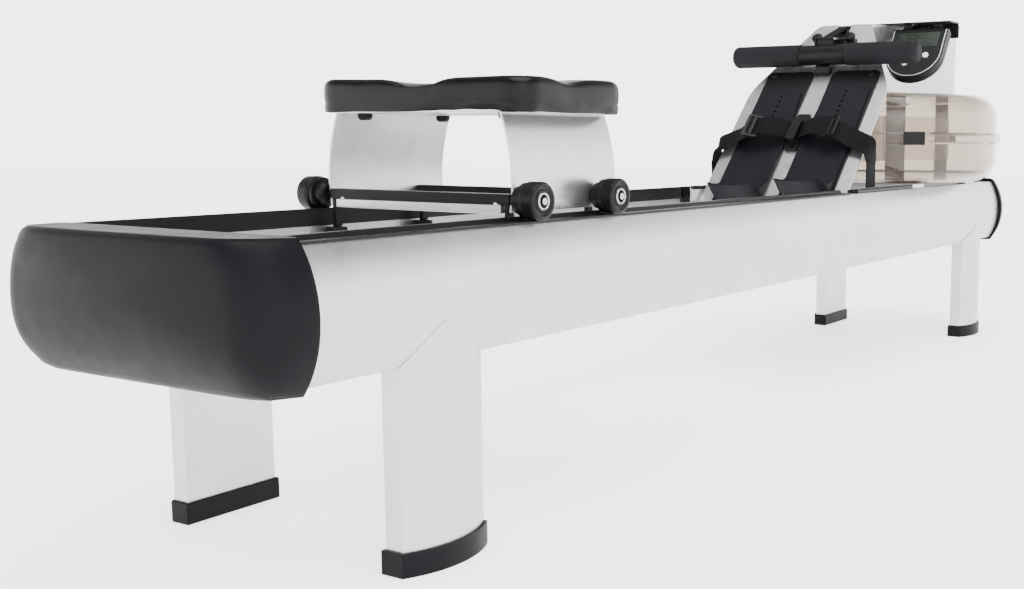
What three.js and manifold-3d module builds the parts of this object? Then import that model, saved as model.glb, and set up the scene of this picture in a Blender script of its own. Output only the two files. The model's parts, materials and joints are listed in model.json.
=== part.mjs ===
// A water rowing machine: two bulged aluminium rails on four legs, a sliding seat, an inclined footboard
// with sliding foot plates, and a round water tank whose impeller is turned by a pulled strap.
// Millimetres, +Z up. +X runs from the rear end cap to the tank, +Y is the rower's left hand.
import * as THREE from "three";
import { mergeVertices } from "three/addons/utils/BufferGeometryUtils.js";
import Module from "manifold-3d";

const wasm = await Module();
wasm.setup();

// ---------------------------------------------------------------- driving dimensions

const GAP = 0.3; // between pieces that touch
const RUNNING = 1.0; // around a shaft, at its corners
const LENGTH = 2130; // over both end caps

// The rails' section: flat inside, flat top and bottom, bulged outside.
const RAIL = { inner: 146, flat: 21.8, bulge: 17.5, bottom: 203.5, height: 124, wall: 3, setback: 56 };
const RAIL_TOP = RAIL.bottom + RAIL.height;
const RAIL_MIDDLE = RAIL.bottom + RAIL.height / 2;

const CAP = { depth: 69, proud: 7, nose: 123.5, noseRise: 86, wall: 7, corner: 46, bow: 22 };

const LEG = { width: 118, flat: 21.8, bulge: 16.3, wall: 3, rear: 182.8, front: 148.5 };
const BOOT = { height: 24, base: 6, wall: 3.4 };

// The tracks' and wheels' outer faces, and the board's edge, are placed from the rails' inner faces.
const TRACK = { short: 57.1, lip: 6.4, run: 2.2, reach: 24, fascia: 14, skin: 2.2, lipWidth: 6 };

const BEAM = { width: 60, height: 44, drop: 12, shelf: 8 };

// The water tank, by its axis's distance from the front end and its rise over the rails.
const TANK = {
  back: 380, rise: 8.5, height: 173, radius: 256, flange: 264, flangeHalf: 9,
  wall: 4, corner: 44, port: 22, plugX: 186, plugRadius: 15,
};
const TANK_X = LENGTH - TANK.back;
const TANK_FOOT = RAIL_TOP + TANK.rise;
const TANK_TOP = TANK_FOOT + TANK.height;
const TANK_MIDDLE = TANK_FOOT + TANK.height / 2;
const IMPELLER = { hub: 20, shaft: 8, blade: 165, bladeHeight: 96, bladeThickness: 5, blades: 4 };
const DRUM = { radius: 24, flange: 33, width: 26, lift: 88 };
const BEARING = { outer: 36, height: 16 };

// The footboard, in its own frame: s runs up the slope, and the rower's side is -x.
const BOARD = {
  behind: 441.6, rise: 6.9, tilt: 44 * (Math.PI / 180), thickness: 3,
  below: -36, shoulder: 240, top: 430, inset: 4, topHalf: 55, corner: 12, notch: 14, notchDepth: 36,
};
const BOARD_X = TANK_X - BOARD.behind;
const BOARD_Z = RAIL_TOP + BOARD.rise;
const BOARD_HALF = RAIL.inner - BOARD.inset;
const TRACK_END = BOARD_X - TRACK.short;
const BACKING = { inner: 19, outer: 116, bottom: -20, top: 295, thickness: 3, corner: 12 };
const FOOT = {
  inner: 16, outer: 112, topInner: 27, topOuter: 109, bottom: -46, length: 289, thickness: 3.6, pitch: 13,
  holes: 6, hole: 3.2, heel: 46, heelWall: 4, sideLow: 15, sideReach: 52, corner: 8,
};
const STRAP = { width: 42, thickness: 2, low: 104, bracketBottom: 88, bracketTop: 176, bracketHalf: 13.5 };

const HANDLE = { s: 314, out: 27, grip: 21, bar: 12, half: 190, centre: 46, sleeve: 19, angle: 12 };
const REST = { half: 42, bottom: 284, top: 384, base: 4, knob: 9, knobY: 34, knobOut: 20, knobS: 370 };
const WEB = { width: 22, thickness: 1.6 };
const ROLLER = { radius: 14, half: 13, s: 408, in: 9, axle: 4 };

const HOOD = { over: 20, neck: 54, wide: 140, shoulder: 33, front: 116, wall: 2, lift: 4 };
const HOOD_TOP = TANK_TOP + DRUM.lift + DRUM.width + HOOD.over;
const SHOULDER_X = TANK_X + HOOD.shoulder;

const MONITOR = {
  behind: 100, y: -140.5, drop: 9, tilt: 36 * (Math.PI / 180), width: 112, height: 119, thickness: 20,
  visorReach: 50, visorWall: 3, screenWidth: 84, screenHeight: 36, screenDown: 9,
  button: 6, buttonTravel: 1.5, buttonProud: 1.6,
};
const MONITOR_X = TANK_X - MONITOR.behind;
const BUTTONS = [
  { name: "button_left", across: 14, down: 84 },
  { name: "button_right", across: -24, down: 66 },
];

// The seat and its carriage, at the seat's rest place. Heights are from the axles, half widths are taken
// in from the rails' inner faces.
const SEAT = { rear: 392, length: 196, half: 157, lift: 4.5, height: 36, corner: 26, round: 8 };
const AXLE = { rear: 396, front: 544, radius: 5 };
const WHEEL = { radius: 20.8, width: 20, reach: 32 };
const WHEEL_Z = RAIL_TOP + GAP + TRACK.run + WHEEL.radius + GAP;
const WHEEL_OUTER = RAIL.inner + WHEEL.reach;
const PLATE = {
  rise: 94.9, drop: 13.6, bellyRise: 16.9, bellyIn: 6.5, topIn: 22, footIn: 9.5, skin: 2.6, lip: 12,
};
const PLATE_TOP = WHEEL_Z + PLATE.rise;
const PLATE_BOTTOM = WHEEL_Z - PLATE.drop;
const BELLY_Z = WHEEL_Z + PLATE.bellyRise;
const BELLY_HALF = RAIL.inner - PLATE.bellyIn;
const TOP_HALF = RAIL.inner - PLATE.topIn;
const FOOT_HALF = RAIL.inner - PLATE.footIn;
const SEAT_BOTTOM = PLATE_TOP + SEAT.lift;
const GUIDE = { radius: 12.5, height: 15, pin: 4, below: 2, arm: 5 };
const CROSS = { width: 16, height: 10 };

// ---------------------------------------------------------------- solids

const X = new THREE.Vector3(1, 0, 0);
const Y = new THREE.Vector3(0, 1, 0);
const Z = new THREE.Vector3(0, 0, 1);

function solidOf(geometry) {
  const plain = geometry.index ? geometry.toNonIndexed() : geometry.clone();
  plain.deleteAttribute("normal");
  plain.deleteAttribute("uv");
  const merged = mergeVertices(plain, 1e-4);
  return new wasm.Manifold(
    new wasm.Mesh({
      numProp: 3,
      vertProperties: merged.attributes.position.array,
      triVerts: new Uint32Array(merged.index.array),
    }),
  );
}

function geometryOf(solid) {
  const mesh = solid.getMesh();
  const geometry = new THREE.BufferGeometry();
  geometry.setAttribute("position", new THREE.BufferAttribute(mesh.vertProperties, 3));
  geometry.setIndex(new THREE.BufferAttribute(mesh.triVerts, 1));
  return geometry;
}

function cut(geometry, ...tools) {
  return geometryOf(tools.reduce((solid, tool) => solid.subtract(solidOf(tool)), solidOf(geometry)));
}

function join(geometry, ...others) {
  return geometryOf(others.reduce((solid, other) => solid.add(solidOf(other)), solidOf(geometry)));
}

function common(geometry, ...others) {
  return geometryOf(others.reduce((solid, other) => solid.intersect(solidOf(other)), solidOf(geometry)));
}

// A closed outline, always taken anticlockwise.
function polygon(points) {
  const corners = points.map(([u, v]) => new THREE.Vector2(u, v));
  return new THREE.Shape(THREE.ShapeUtils.isClockWise(corners) ? corners.reverse() : corners);
}

function extrude(shape, depth) {
  return new THREE.ExtrudeGeometry(shape, { depth, bevelEnabled: false, curveSegments: 6 });
}

// A (y, z) outline run along X, an (x, z) outline run along Y, and an (x, y) outline run along Z.
function alongX(shape, from, to) {
  const matrix = new THREE.Matrix4().makeBasis(Y, Z, X).setPosition(from, 0, 0);
  return extrude(shape, to - from).applyMatrix4(matrix);
}

function alongY(shape, from, to) {
  const matrix = new THREE.Matrix4().makeBasis(X, Z, Y.clone().negate()).setPosition(0, to, 0);
  return extrude(shape, to - from).applyMatrix4(matrix);
}

function alongZ(shape, from, to) {
  return extrude(shape, to - from).translate(0, 0, from);
}

function box(x0, x1, y0, y1, z0, z1) {
  const geometry = new THREE.BoxGeometry(x1 - x0, y1 - y0, z1 - z0);
  return geometry.translate((x0 + x1) / 2, (y0 + y1) / 2, (z0 + z1) / 2);
}

// A round bar between two points.
function rod(radius, from, to, sides = 20) {
  const start = new THREE.Vector3(...from);
  const way = new THREE.Vector3(...to).sub(start);
  const geometry = new THREE.CylinderGeometry(radius, radius, way.length(), sides);
  geometry.applyQuaternion(new THREE.Quaternion().setFromUnitVectors(Y, way.clone().normalize()));
  return geometry.translate(...start.addScaledVector(way, 0.5).toArray());
}

// A (radius, height) outline turned about Z: out along the bottom, up the outside and in over the top.
function turnedZ(points, sides = 48) {
  const outline = points.map(([r, h]) => new THREE.Vector2(r, h));
  return new THREE.LatheGeometry(outline, sides).rotateX(Math.PI / 2);
}

function roundedRectangle(u0, u1, v0, v1, radius) {
  const shape = new THREE.Shape();
  shape.moveTo(u0 + radius, v0);
  shape.lineTo(u1 - radius, v0);
  shape.absarc(u1 - radius, v0 + radius, radius, -Math.PI / 2, 0);
  shape.lineTo(u1, v1 - radius);
  shape.absarc(u1 - radius, v1 - radius, radius, 0, Math.PI / 2);
  shape.lineTo(u0 + radius, v1);
  shape.absarc(u0 + radius, v1 - radius, radius, Math.PI / 2, Math.PI);
  shape.lineTo(u0, v0 + radius);
  shape.absarc(u0 + radius, v0 + radius, radius, Math.PI, 1.5 * Math.PI);
  return shape;
}

// A flat strap: a rectangular section lofted through stations of a centre and a width direction.
function ribbon(stations, width, thickness) {
  const corners = [];
  stations.forEach(({ at, across }, i) => {
    const before = stations[Math.max(i - 1, 0)].at;
    const after = stations[Math.min(i + 1, stations.length - 1)].at;
    const way = after.clone().sub(before).normalize();
    const level = across.clone().addScaledVector(way, -across.dot(way)).normalize();
    const side = level.multiplyScalar(width / 2);
    const up = way.clone().cross(side).normalize().multiplyScalar(thickness / 2);
    corners.push(
      at.clone().sub(side).sub(up),
      at.clone().add(side).sub(up),
      at.clone().add(side).add(up),
      at.clone().sub(side).add(up),
    );
  });
  const faces = [0, 2, 1, 0, 3, 2];
  for (let i = 0; i + 1 < stations.length; i++) {
    for (let k = 0; k < 4; k++) {
      const a = 4 * i + k;
      const b = 4 * i + ((k + 1) % 4);
      // Opposite walls share their diagonals, so a twisted strap's walls stay apart.
      if (k === 2) faces.push(a, b, a + 4, b, b + 4, a + 4);
      else faces.push(a, b, b + 4, a, b + 4, a + 4);
    }
  }
  const last = 4 * (stations.length - 1);
  faces.push(last, last + 1, last + 2, last, last + 2, last + 3);
  const geometry = new THREE.BufferGeometry();
  const numbers = corners.flatMap((corner) => corner.toArray());
  geometry.setAttribute("position", new THREE.Float32BufferAttribute(numbers, 3));
  geometry.setIndex(faces);
  return geometry;
}

// ---------------------------------------------------------------- materials and placing

const FINISH = {
  silver: { color: 0xd4d5d8, roughness: 0.38, metalness: 0.85 },
  steel: { color: 0xb9bbbf, roughness: 0.3, metalness: 0.9 },
  rubber: { color: 0x232226, roughness: 0.62, metalness: 0 },
  plastic: { color: 0x1d1d20, roughness: 0.5, metalness: 0 },
  tread: { color: 0x34333a, roughness: 0.6, metalness: 0 },
  foam: { color: 0x3a3a3d, roughness: 0.75, metalness: 0 },
  webbing: { color: 0x27262b, roughness: 0.8, metalness: 0 },
  polycarbonate: { color: 0xcfc6b8, roughness: 0.12, metalness: 0, transparent: true, opacity: 0.4 },
  paddle: { color: 0x6f675d, roughness: 0.5, metalness: 0 },
  screen: { color: 0x4c5348, roughness: 0.15, metalness: 0 },
  button: { color: 0xe6e6e2, roughness: 0.4, metalness: 0 },
};

const machine = new THREE.Group();
machine.position.x = -LENGTH / 2;

function add(name, geometry, finish, parent = machine) {
  const mesh = new THREE.Mesh(geometry, new THREE.MeshStandardMaterial(FINISH[finish]));
  mesh.name = name;
  parent.add(mesh);
  return mesh;
}

const SIDES = [
  { name: "left", sign: 1 },
  { name: "right", sign: -1 },
];

// ---------------------------------------------------------------- frame

// A D-shaped outline about v = 0: flat at u = inner, corners at inner + flat, bulged beyond. grow offsets it.
function bulged({ inner, flat, bulge, height }, sign, middle, grow = 0, steps = 12) {
  const radius = (height * height) / 8 / bulge + bulge / 2;
  const centre = inner + flat + bulge - radius;
  const half = height / 2 + grow;
  const reach = Math.asin(half / (radius + grow));
  const points = [[sign * (inner - grow), middle - half]];
  for (let i = 0; i <= steps; i++) {
    const angle = reach * ((2 * i) / steps - 1);
    points.push([
      sign * (centre + (radius + grow) * Math.cos(angle)),
      middle + (radius + grow) * Math.sin(angle),
    ]);
  }
  points.push([sign * (inner - grow), middle + half]);
  return points;
}

function rail(sign) {
  const outline = polygon(bulged(RAIL, sign, RAIL_MIDDLE));
  outline.holes.push(polygon(bulged(RAIL, sign, RAIL_MIDDLE, -RAIL.wall)));
  return alongX(outline, RAIL.setback, LENGTH - RAIL.setback);
}

// The whole width of the frame, from one rail's bulge to the other's.
function frameOutline(grow) {
  const right = bulged(RAIL, -1, RAIL_MIDDLE, grow).slice(1, -1);
  const left = bulged(RAIL, 1, RAIL_MIDDLE, grow).slice(1, -1).reverse();
  return polygon([...right, ...left]);
}

// The cap's form, rounded in its side view and its plan. inset moves its faces in, for the pocket.
function capForm(outline, place, inset) {
  const bottom = RAIL.bottom - CAP.proud;
  const top = RAIL_TOP + CAP.proud;
  const back = CAP.depth + Math.min(inset, 1);
  const noseZ = bottom + CAP.noseRise;
  const low = Math.asin((noseZ - bottom) / CAP.nose);
  const high = Math.asin((top - noseZ) / CAP.nose);
  const side = [[place(back), bottom]];
  for (let i = 0; i <= 12; i++) {
    const angle = -low + ((low + high) * i) / 12;
    side.push([
      place(inset + CAP.nose - CAP.nose * Math.cos(angle)),
      noseZ + CAP.nose * Math.sin(angle),
    ]);
  }
  side.push([place(back), top]);

  const half = RAIL.inner + RAIL.flat + RAIL.bulge + CAP.proud + 1 - inset;
  const corner = CAP.corner - 1.7 * inset;
  const straight = half - corner;
  const depthAt = (y) => {
    const past = Math.max(0, Math.abs(y) - straight);
    return inset + CAP.bow * (y / half) ** 2 + corner - Math.sqrt(Math.max(0, corner ** 2 - past ** 2));
  };
  const across = [];
  for (let i = 8; i > 0; i--) across.push(straight + corner * Math.sin((Math.PI * i) / 16));
  for (let i = 6; i > -6; i--) across.push((straight * i) / 6);
  for (let i = 0; i <= 8; i++) across.push(-straight - corner * Math.sin((Math.PI * i) / 16));
  const plan = [[place(back), half], ...across.map((y) => [place(depthAt(y)), y]), [place(back), -half]];

  const ends = [place(inset), place(back)].sort((a, b) => a - b);
  return common(
    alongX(outline, ends[0], ends[1]),
    alongY(polygon(side), -half, half),
    alongZ(polygon(plan), bottom, top),
  );
}

// A hollow rubber cap over both rails' ends. place maps a distance from the cap's nose to X.
function endCap(place) {
  const shell = capForm(frameOutline(CAP.proud), place, 0);
  return cut(shell, capForm(frameOutline(GAP), place, CAP.wall));
}

// A leg is a bulged tube whose top is mitred to the rail it carries.
function leg(sign, from) {
  const middle = from + LEG.width / 2;
  const section = { inner: RAIL.inner, flat: LEG.flat, bulge: LEG.bulge, height: LEG.width };
  const swap = (points) => polygon(points.map(([y, x]) => [x, y]));
  const outer = alongZ(swap(bulged(section, sign, middle)), BOOT.base + GAP, RAIL_MIDDLE);
  const bore = alongZ(swap(bulged(section, sign, middle, -LEG.wall)), 0, RAIL_MIDDLE + 1);
  const seat = alongX(polygon(bulged(RAIL, sign, RAIL_MIDDLE, GAP)), from - 10, from + LEG.width + 10);
  return cut(outer, bore, seat);
}

function boot(sign, from) {
  const middle = from + LEG.width / 2;
  const section = { inner: RAIL.inner, flat: LEG.flat, bulge: LEG.bulge, height: LEG.width };
  const swap = (points) => polygon(points.map(([y, x]) => [x, y]));
  const outer = alongZ(swap(bulged(section, sign, middle, BOOT.wall)), 0, BOOT.height);
  const pocket = alongZ(swap(bulged(section, sign, middle, GAP)), BOOT.base, BOOT.height + 1);
  return cut(outer, pocket);
}

// A running strip on a rail: a raised lip and a fascia inside, a lower running surface outside.
function track(sign) {
  const z = RAIL_TOP + GAP;
  const inside = RAIL.inner - GAP - TRACK.skin;
  const outline = [
    [inside, RAIL_TOP - TRACK.fascia],
    [RAIL.inner - GAP, RAIL_TOP - TRACK.fascia],
    [RAIL.inner - GAP, z],
    [RAIL.inner + TRACK.reach, z],
    [RAIL.inner + TRACK.reach, z + TRACK.run],
    [RAIL.inner + TRACK.lipWidth, z + TRACK.run],
    [RAIL.inner + TRACK.lipWidth - 2, z + TRACK.lip],
    [inside, z + TRACK.lip],
  ];
  const shape = polygon(outline.map(([u, v]) => [sign * u, v]));
  return alongX(shape, CAP.depth + GAP, TRACK_END);
}

// A cross member between the rails, with a flange that rests on each rail where shelf is true.
function crossMember(from, width, top, height, shelf) {
  const half = RAIL.inner - GAP;
  const tube = cut(
    box(from, from + width, -half, half, top - height, top),
    box(from + 3, from + width - 3, -half - 1, half + 1, top - height + 3, top - 3),
  );
  if (!shelf) return tube;
  const reach = RAIL.inner + RAIL.flat - 2;
  return join(tube, box(from, from + width, -reach, reach, RAIL_TOP + GAP, top));
}

// The cross member under the foot of the board, with its rear top edge cut to the board's slope.
function footboardCrossMember() {
  const back = -BOARD.thickness - GAP;
  const top = RAIL_TOP - BEAM.shelf;
  const fall = BOARD_Z + back * Math.sin(BOARD.tilt) - top;
  const x = BOARD_X - back * Math.cos(BOARD.tilt) - fall * Math.tan(BOARD.tilt);
  const low = top - BEAM.height;
  const lean = 12;
  const bar = polygon([
    [x - lean * Math.tan(BOARD.tilt), top - lean],
    [x, top],
    [x + BEAM.width, top],
    [x + BEAM.width, low],
    [x - lean * Math.tan(BOARD.tilt), low],
  ]);
  const half = RAIL.inner - GAP;
  return alongY(bar, -half, half);
}

const rearLeg = LEG.rear;
const frontLeg = LENGTH - LEG.front - LEG.width;
for (const { name, sign } of SIDES) {
  add(`rail_${name}`, rail(sign), "silver");
  add(`leg_rear_${name}`, leg(sign, rearLeg), "silver");
  add(`leg_front_${name}`, leg(sign, frontLeg), "silver");
  add(`boot_rear_${name}`, boot(sign, rearLeg), "rubber");
  add(`boot_front_${name}`, boot(sign, frontLeg), "rubber");
  add(`track_${name}`, track(sign), "plastic");
}
add("end_cap_rear", endCap((d) => d), "rubber");
add("end_cap_front", endCap((d) => LENGTH - d), "rubber");

const tankRest = TANK_FOOT - GAP;
add("footboard_cross_member", footboardCrossMember(), "silver");
add(
  "cross_member_rear",
  crossMember(rearLeg + (LEG.width - BEAM.width) / 2, BEAM.width, RAIL_MIDDLE, BEAM.height, false),
  "silver",
);
add("tank_support_rear", crossMember(TANK_X - 190, BEAM.width, tankRest, BEAM.height, true), "silver");
add("tank_support_front", crossMember(TANK_X + 130, BEAM.width, tankRest, BEAM.height, true), "silver");

// ---------------------------------------------------------------- water tank and drive

// One half of the tank as a (radius, height) outline from its closed end up to its flange.
function tankHalf(port) {
  const half = TANK.height / 2 - GAP / 2;
  const outline = [[port, 0]];
  const wallIn = TANK.radius - TANK.wall;
  for (let i = 0; i <= 6; i++) {
    const angle = (Math.PI / 2) * (i / 6);
    outline.push([
      TANK.radius - TANK.corner + TANK.corner * Math.sin(angle),
      TANK.corner - TANK.corner * Math.cos(angle),
    ]);
  }
  outline.push([TANK.radius, half - TANK.flangeHalf], [TANK.flange, half - TANK.flangeHalf]);
  outline.push([TANK.flange, half], [wallIn, half]);
  for (let i = 6; i >= 0; i--) {
    const angle = (Math.PI / 2) * (i / 6);
    const radius = TANK.corner - TANK.wall;
    outline.push([
      TANK.radius - TANK.corner + radius * Math.sin(angle),
      TANK.corner - radius * Math.cos(angle),
    ]);
  }
  outline.push([port, TANK.wall]);
  if (port > 0) outline.push([port, 0]);
  return outline;
}

const lowerTank = turnedZ(tankHalf(0), 48).translate(TANK_X, 0, TANK_FOOT);
const upperShell = turnedZ(tankHalf(TANK.port).map(([r, h]) => [r, TANK.height - h]).reverse(), 48);
const plugX = TANK_X + TANK.plugX;
const plugHole = rod(TANK.plugRadius, [plugX, 0, TANK_TOP - 20], [plugX, 0, TANK_TOP + 5]);
add("tank_lower", lowerTank, "polycarbonate");
add("tank_upper", cut(upperShell.translate(TANK_X, 0, TANK_FOOT), plugHole), "polycarbonate");

add(
  "tank_plug",
  join(
    rod(TANK.plugRadius - 0.6, [plugX, 0, TANK_TOP - TANK.wall - 3], [plugX, 0, TANK_TOP + 3]),
    rod(TANK.plugRadius + 4, [plugX, 0, TANK_TOP + GAP], [plugX, 0, TANK_TOP + 6], 24),
  ),
  "rubber",
);

function impeller() {
  const low = TANK_FOOT + TANK.wall + 6;
  const top = TANK_TOP + DRUM.lift + DRUM.width + 8;
  let solid = rod(IMPELLER.shaft, [TANK_X, 0, low], [TANK_X, 0, top]);
  const bladeZ = TANK_MIDDLE - IMPELLER.bladeHeight / 2;
  solid = join(solid, rod(IMPELLER.hub, [TANK_X, 0, bladeZ], [TANK_X, 0, bladeZ + IMPELLER.bladeHeight], 24));
  for (let i = 0; i < IMPELLER.blades; i++) {
    const t = IMPELLER.bladeThickness / 2;
    const blade = box(IMPELLER.hub / 2, IMPELLER.blade, -t, t, bladeZ + 4, bladeZ + IMPELLER.bladeHeight - 4);
    blade.rotateZ((i + 0.35) * ((2 * Math.PI) / IMPELLER.blades)).translate(TANK_X, 0, 0);
    solid = join(solid, blade);
  }
  return solid;
}
add("impeller", impeller(), "paddle");

const bearingBore = IMPELLER.shaft + RUNNING;
add(
  "bearing_housing",
  turnedZ([
    [bearingBore, 0],
    [BEARING.outer, 0],
    [BEARING.outer, 5],
    [BEARING.outer - 12, BEARING.height],
    [bearingBore, BEARING.height],
    [bearingBore, 0],
  ], 32).translate(TANK_X, 0, TANK_TOP + GAP),
  "plastic",
);

const drumZ = TANK_TOP + DRUM.lift;
const drumBore = IMPELLER.shaft + RUNNING;
add(
  "clutch_drum",
  turnedZ([
    [drumBore, -3],
    [DRUM.flange, -3],
    [DRUM.flange, 0],
    [DRUM.radius, 0],
    [DRUM.radius, DRUM.width],
    [DRUM.flange, DRUM.width],
    [DRUM.flange, DRUM.width + 3],
    [drumBore, DRUM.width + 3],
    [drumBore, -3],
  ], 32).translate(TANK_X, 0, drumZ),
  "plastic",
);

// ---------------------------------------------------------------- footboard

const board = new THREE.Group();
board.position.set(BOARD_X, 0, BOARD_Z);
board.rotation.y = BOARD.tilt;
machine.add(board);

// A point given in the footboard's frame by its place across, up the slope and out towards the rower.
function onBoard(y, s, out) {
  return new THREE.Vector3(-out, y, s).applyAxisAngle(Y, BOARD.tilt).add(board.position);
}

// A (y, s) outline of a sheet that lies between two distances out from the board's face.
function sheet(shape, low, high) {
  return alongX(shape, -high, -low);
}

function footboard() {
  const shape = new THREE.Shape();
  shape.moveTo(-BOARD_HALF, BOARD.below);
  shape.lineTo(BOARD_HALF, BOARD.below);
  shape.lineTo(BOARD_HALF, BOARD.shoulder - 20);
  shape.quadraticCurveTo(BOARD_HALF, BOARD.shoulder + 5, BOARD_HALF - 12, BOARD.shoulder + 32);
  shape.lineTo(BOARD.topHalf + 6, BOARD.top - BOARD.corner);
  shape.quadraticCurveTo(BOARD.topHalf, BOARD.top, BOARD.topHalf - BOARD.corner, BOARD.top);
  shape.lineTo(BOARD.notch, BOARD.top);
  shape.lineTo(BOARD.notch, BOARD.top - BOARD.notchDepth);
  shape.lineTo(-BOARD.notch, BOARD.top - BOARD.notchDepth);
  shape.lineTo(-BOARD.notch, BOARD.top);
  shape.lineTo(-BOARD.topHalf + BOARD.corner, BOARD.top);
  shape.quadraticCurveTo(-BOARD.topHalf, BOARD.top, -BOARD.topHalf - 6, BOARD.top - BOARD.corner);
  shape.lineTo(-BOARD_HALF + 12, BOARD.shoulder + 32);
  shape.quadraticCurveTo(-BOARD_HALF, BOARD.shoulder + 5, -BOARD_HALF, BOARD.shoulder - 20);
  return sheet(shape, -BOARD.thickness, 0);
}
add("footboard", footboard(), "silver", board);

function backing(sign) {
  const ends = [sign * BACKING.inner, sign * BACKING.outer].sort((a, b) => a - b);
  const shape = roundedRectangle(ends[0], ends[1], BACKING.bottom, BACKING.top, BACKING.corner);
  return sheet(shape, GAP, GAP + BACKING.thickness);
}

const footLow = 2 * GAP + BACKING.thickness;
const footHigh = footLow + FOOT.thickness;

// A sliding foot plate with its heel cup and its row of setting holes. raise is its setting up the slope.
function footPlate(sign, raise) {
  const bottom = FOOT.bottom + raise;
  const top = bottom + FOOT.length;
  const points = [
    [FOOT.inner, bottom],
    [FOOT.outer, bottom],
    [FOOT.outer, bottom + 150],
    [FOOT.topOuter, top - FOOT.corner],
    [FOOT.topOuter - FOOT.corner, top],
    [FOOT.topInner + FOOT.corner, top],
    [FOOT.topInner, top - FOOT.corner],
    [FOOT.inner, bottom + 150],
  ];
  const plate = sheet(polygon(points.map(([y, s]) => [sign * y, s])), footLow, footHigh);
  const middle = (FOOT.inner + FOOT.outer) / 2;
  const holes = [];
  for (let i = 0; i < FOOT.holes; i++) {
    const s = top - 20 - i * FOOT.pitch;
    const diamond = [
      [sign * middle - FOOT.hole, s],
      [sign * middle, s - FOOT.hole],
      [sign * middle + FOOT.hole, s],
      [sign * middle, s + FOOT.hole],
    ];
    holes.push(sheet(polygon(diamond), footLow - 1, footHigh + 1));
  }
  const ends = [sign * FOOT.inner, sign * FOOT.outer].sort((a, b) => a - b);
  const outline = (y) => roundedRectangle(ends[0] + y, ends[1] - y, bottom + y, bottom + 120, 22 - y);
  const around = sheet(outline(0), footHigh - 1, footHigh + FOOT.heel);
  const ring = cut(around, sheet(outline(FOOT.heelWall), 0, footHigh + FOOT.heel + 1));
  const profile = polygon([
    [-footHigh + 1, bottom],
    [-footHigh - FOOT.heel, bottom],
    [-footHigh - FOOT.heel, bottom + 6],
    [-footHigh - FOOT.sideLow, bottom + 22],
    [-footHigh + 1, bottom + FOOT.sideReach],
  ]);
  const cup = common(ring, alongY(profile, ends[0] - 1, ends[1] + 1));
  return join(cut(plate, ...holes), cup);
}

for (const { name, sign } of SIDES) {
  add(`backing_plate_${name}`, backing(sign), "plastic", board);
  add(`foot_plate_${name}`, footPlate(sign, sign > 0 ? 0 : FOOT.pitch), "tread", board);
}

add(
  "strap_bracket",
  join(
    sheet(
      roundedRectangle(-STRAP.bracketHalf, STRAP.bracketHalf, STRAP.bracketBottom, STRAP.bracketTop, 4),
      GAP,
      footHigh,
    ),
    sheet(
      roundedRectangle(-9, 9, STRAP.low - 6, STRAP.low + STRAP.width + 6, 4),
      footHigh - 1,
      footHigh + 16,
    ),
  ),
  "plastic",
  board,
);

// A toe strap: from the bracket in the middle, over the toes, round the board's edge and down behind it.
function footStrap(sign) {
  const s = STRAP.low + STRAP.width / 2;
  const across = new THREE.Vector3(Math.sin(BOARD.tilt), 0, Math.cos(BOARD.tilt));
  const stations = [];
  const station = (y, at, out, turn = 0) =>
    stations.push({ at: onBoard(sign * y, at, out), across: across.clone().applyAxisAngle(X, -sign * turn) });
  station(10.5, s, footHigh + 6);
  const edge = BOARD_HALF;
  station(22, s, footHigh + 15);
  station(0.28 * edge, s - 2, footHigh + 23);
  station(0.42 * edge, s - 4, footHigh + 26);
  station(0.56 * edge, s - 7, footHigh + 23);
  station(0.69 * edge, s - 11, footHigh + 16, 0.1);
  station(0.8 * edge, s - 16, footHigh + 9, 0.2);
  station(edge - 10, s - 23, footHigh + 5.5, 0.25);
  station(edge + 8, s - 31, footHigh + 1, 0.25);
  station(edge + 13, s - 44, -9, 0.1);
  station(edge + 13, s - 60, -25);
  station(edge + 13, s - 80, -45);
  return stations;
}

for (const { name, sign } of SIDES) {
  add(`foot_strap_${name}`, ribbon(footStrap(sign), STRAP.width, STRAP.thickness), "webbing");
}

// ---------------------------------------------------------------- handle and drive strap

const handleS = HANDLE.s;

// The lobe that the handle's sleeve lies on, hollowed to it. Its tip stays clear of the sleeve's way out.
function restLobe() {
  const points = [
    [-1, REST.bottom],
    [-9, REST.bottom + 1],
    [-17, REST.bottom + 8],
  ];
  const reach = HANDLE.sleeve + 2 * GAP;
  for (let degrees = 124; degrees <= 160; degrees += 9) {
    const angle = (degrees * Math.PI) / 180;
    points.push([-HANDLE.out - reach * Math.cos(angle), handleS - reach * Math.sin(angle)]);
  }
  points.push([-1, handleS - 4]);
  return points;
}

add(
  "handle_rest",
  join(
    sheet(roundedRectangle(-REST.half, REST.half, handleS + 34, REST.top, 6), GAP, REST.base),
    sheet(
      roundedRectangle(-REST.half / 3, REST.half / 3, REST.bottom, handleS + 36, 5),
      GAP,
      REST.base - 0.6,
    ),
    alongY(polygon(restLobe()), -REST.half / 3, REST.half / 3),
    rod(REST.knob, [-1, REST.knobY, REST.knobS], [-REST.knobOut, REST.knobY, REST.knobS], 16),
    rod(REST.knob, [-1, -REST.knobY, REST.knobS], [-REST.knobOut, -REST.knobY, REST.knobS], 16),
  ),
  "plastic",
  board,
);

const handle = onBoard(0, handleS, HANDLE.out);
const barEnd = HANDLE.half - 8;
const eyeHalf = WEB.width / 2 + 3;
add(
  "handle_bar",
  join(
    rod(HANDLE.bar, [handle.x, -barEnd, handle.z], [handle.x, barEnd, handle.z], 20),
    rod(HANDLE.sleeve, [handle.x, -HANDLE.centre, handle.z], [handle.x, HANDLE.centre, handle.z], 24),
    box(handle.x - 4, handle.x + 4, -eyeHalf, eyeHalf, handle.z, handle.z + HANDLE.sleeve + 9),
  ),
  "plastic",
);

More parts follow.
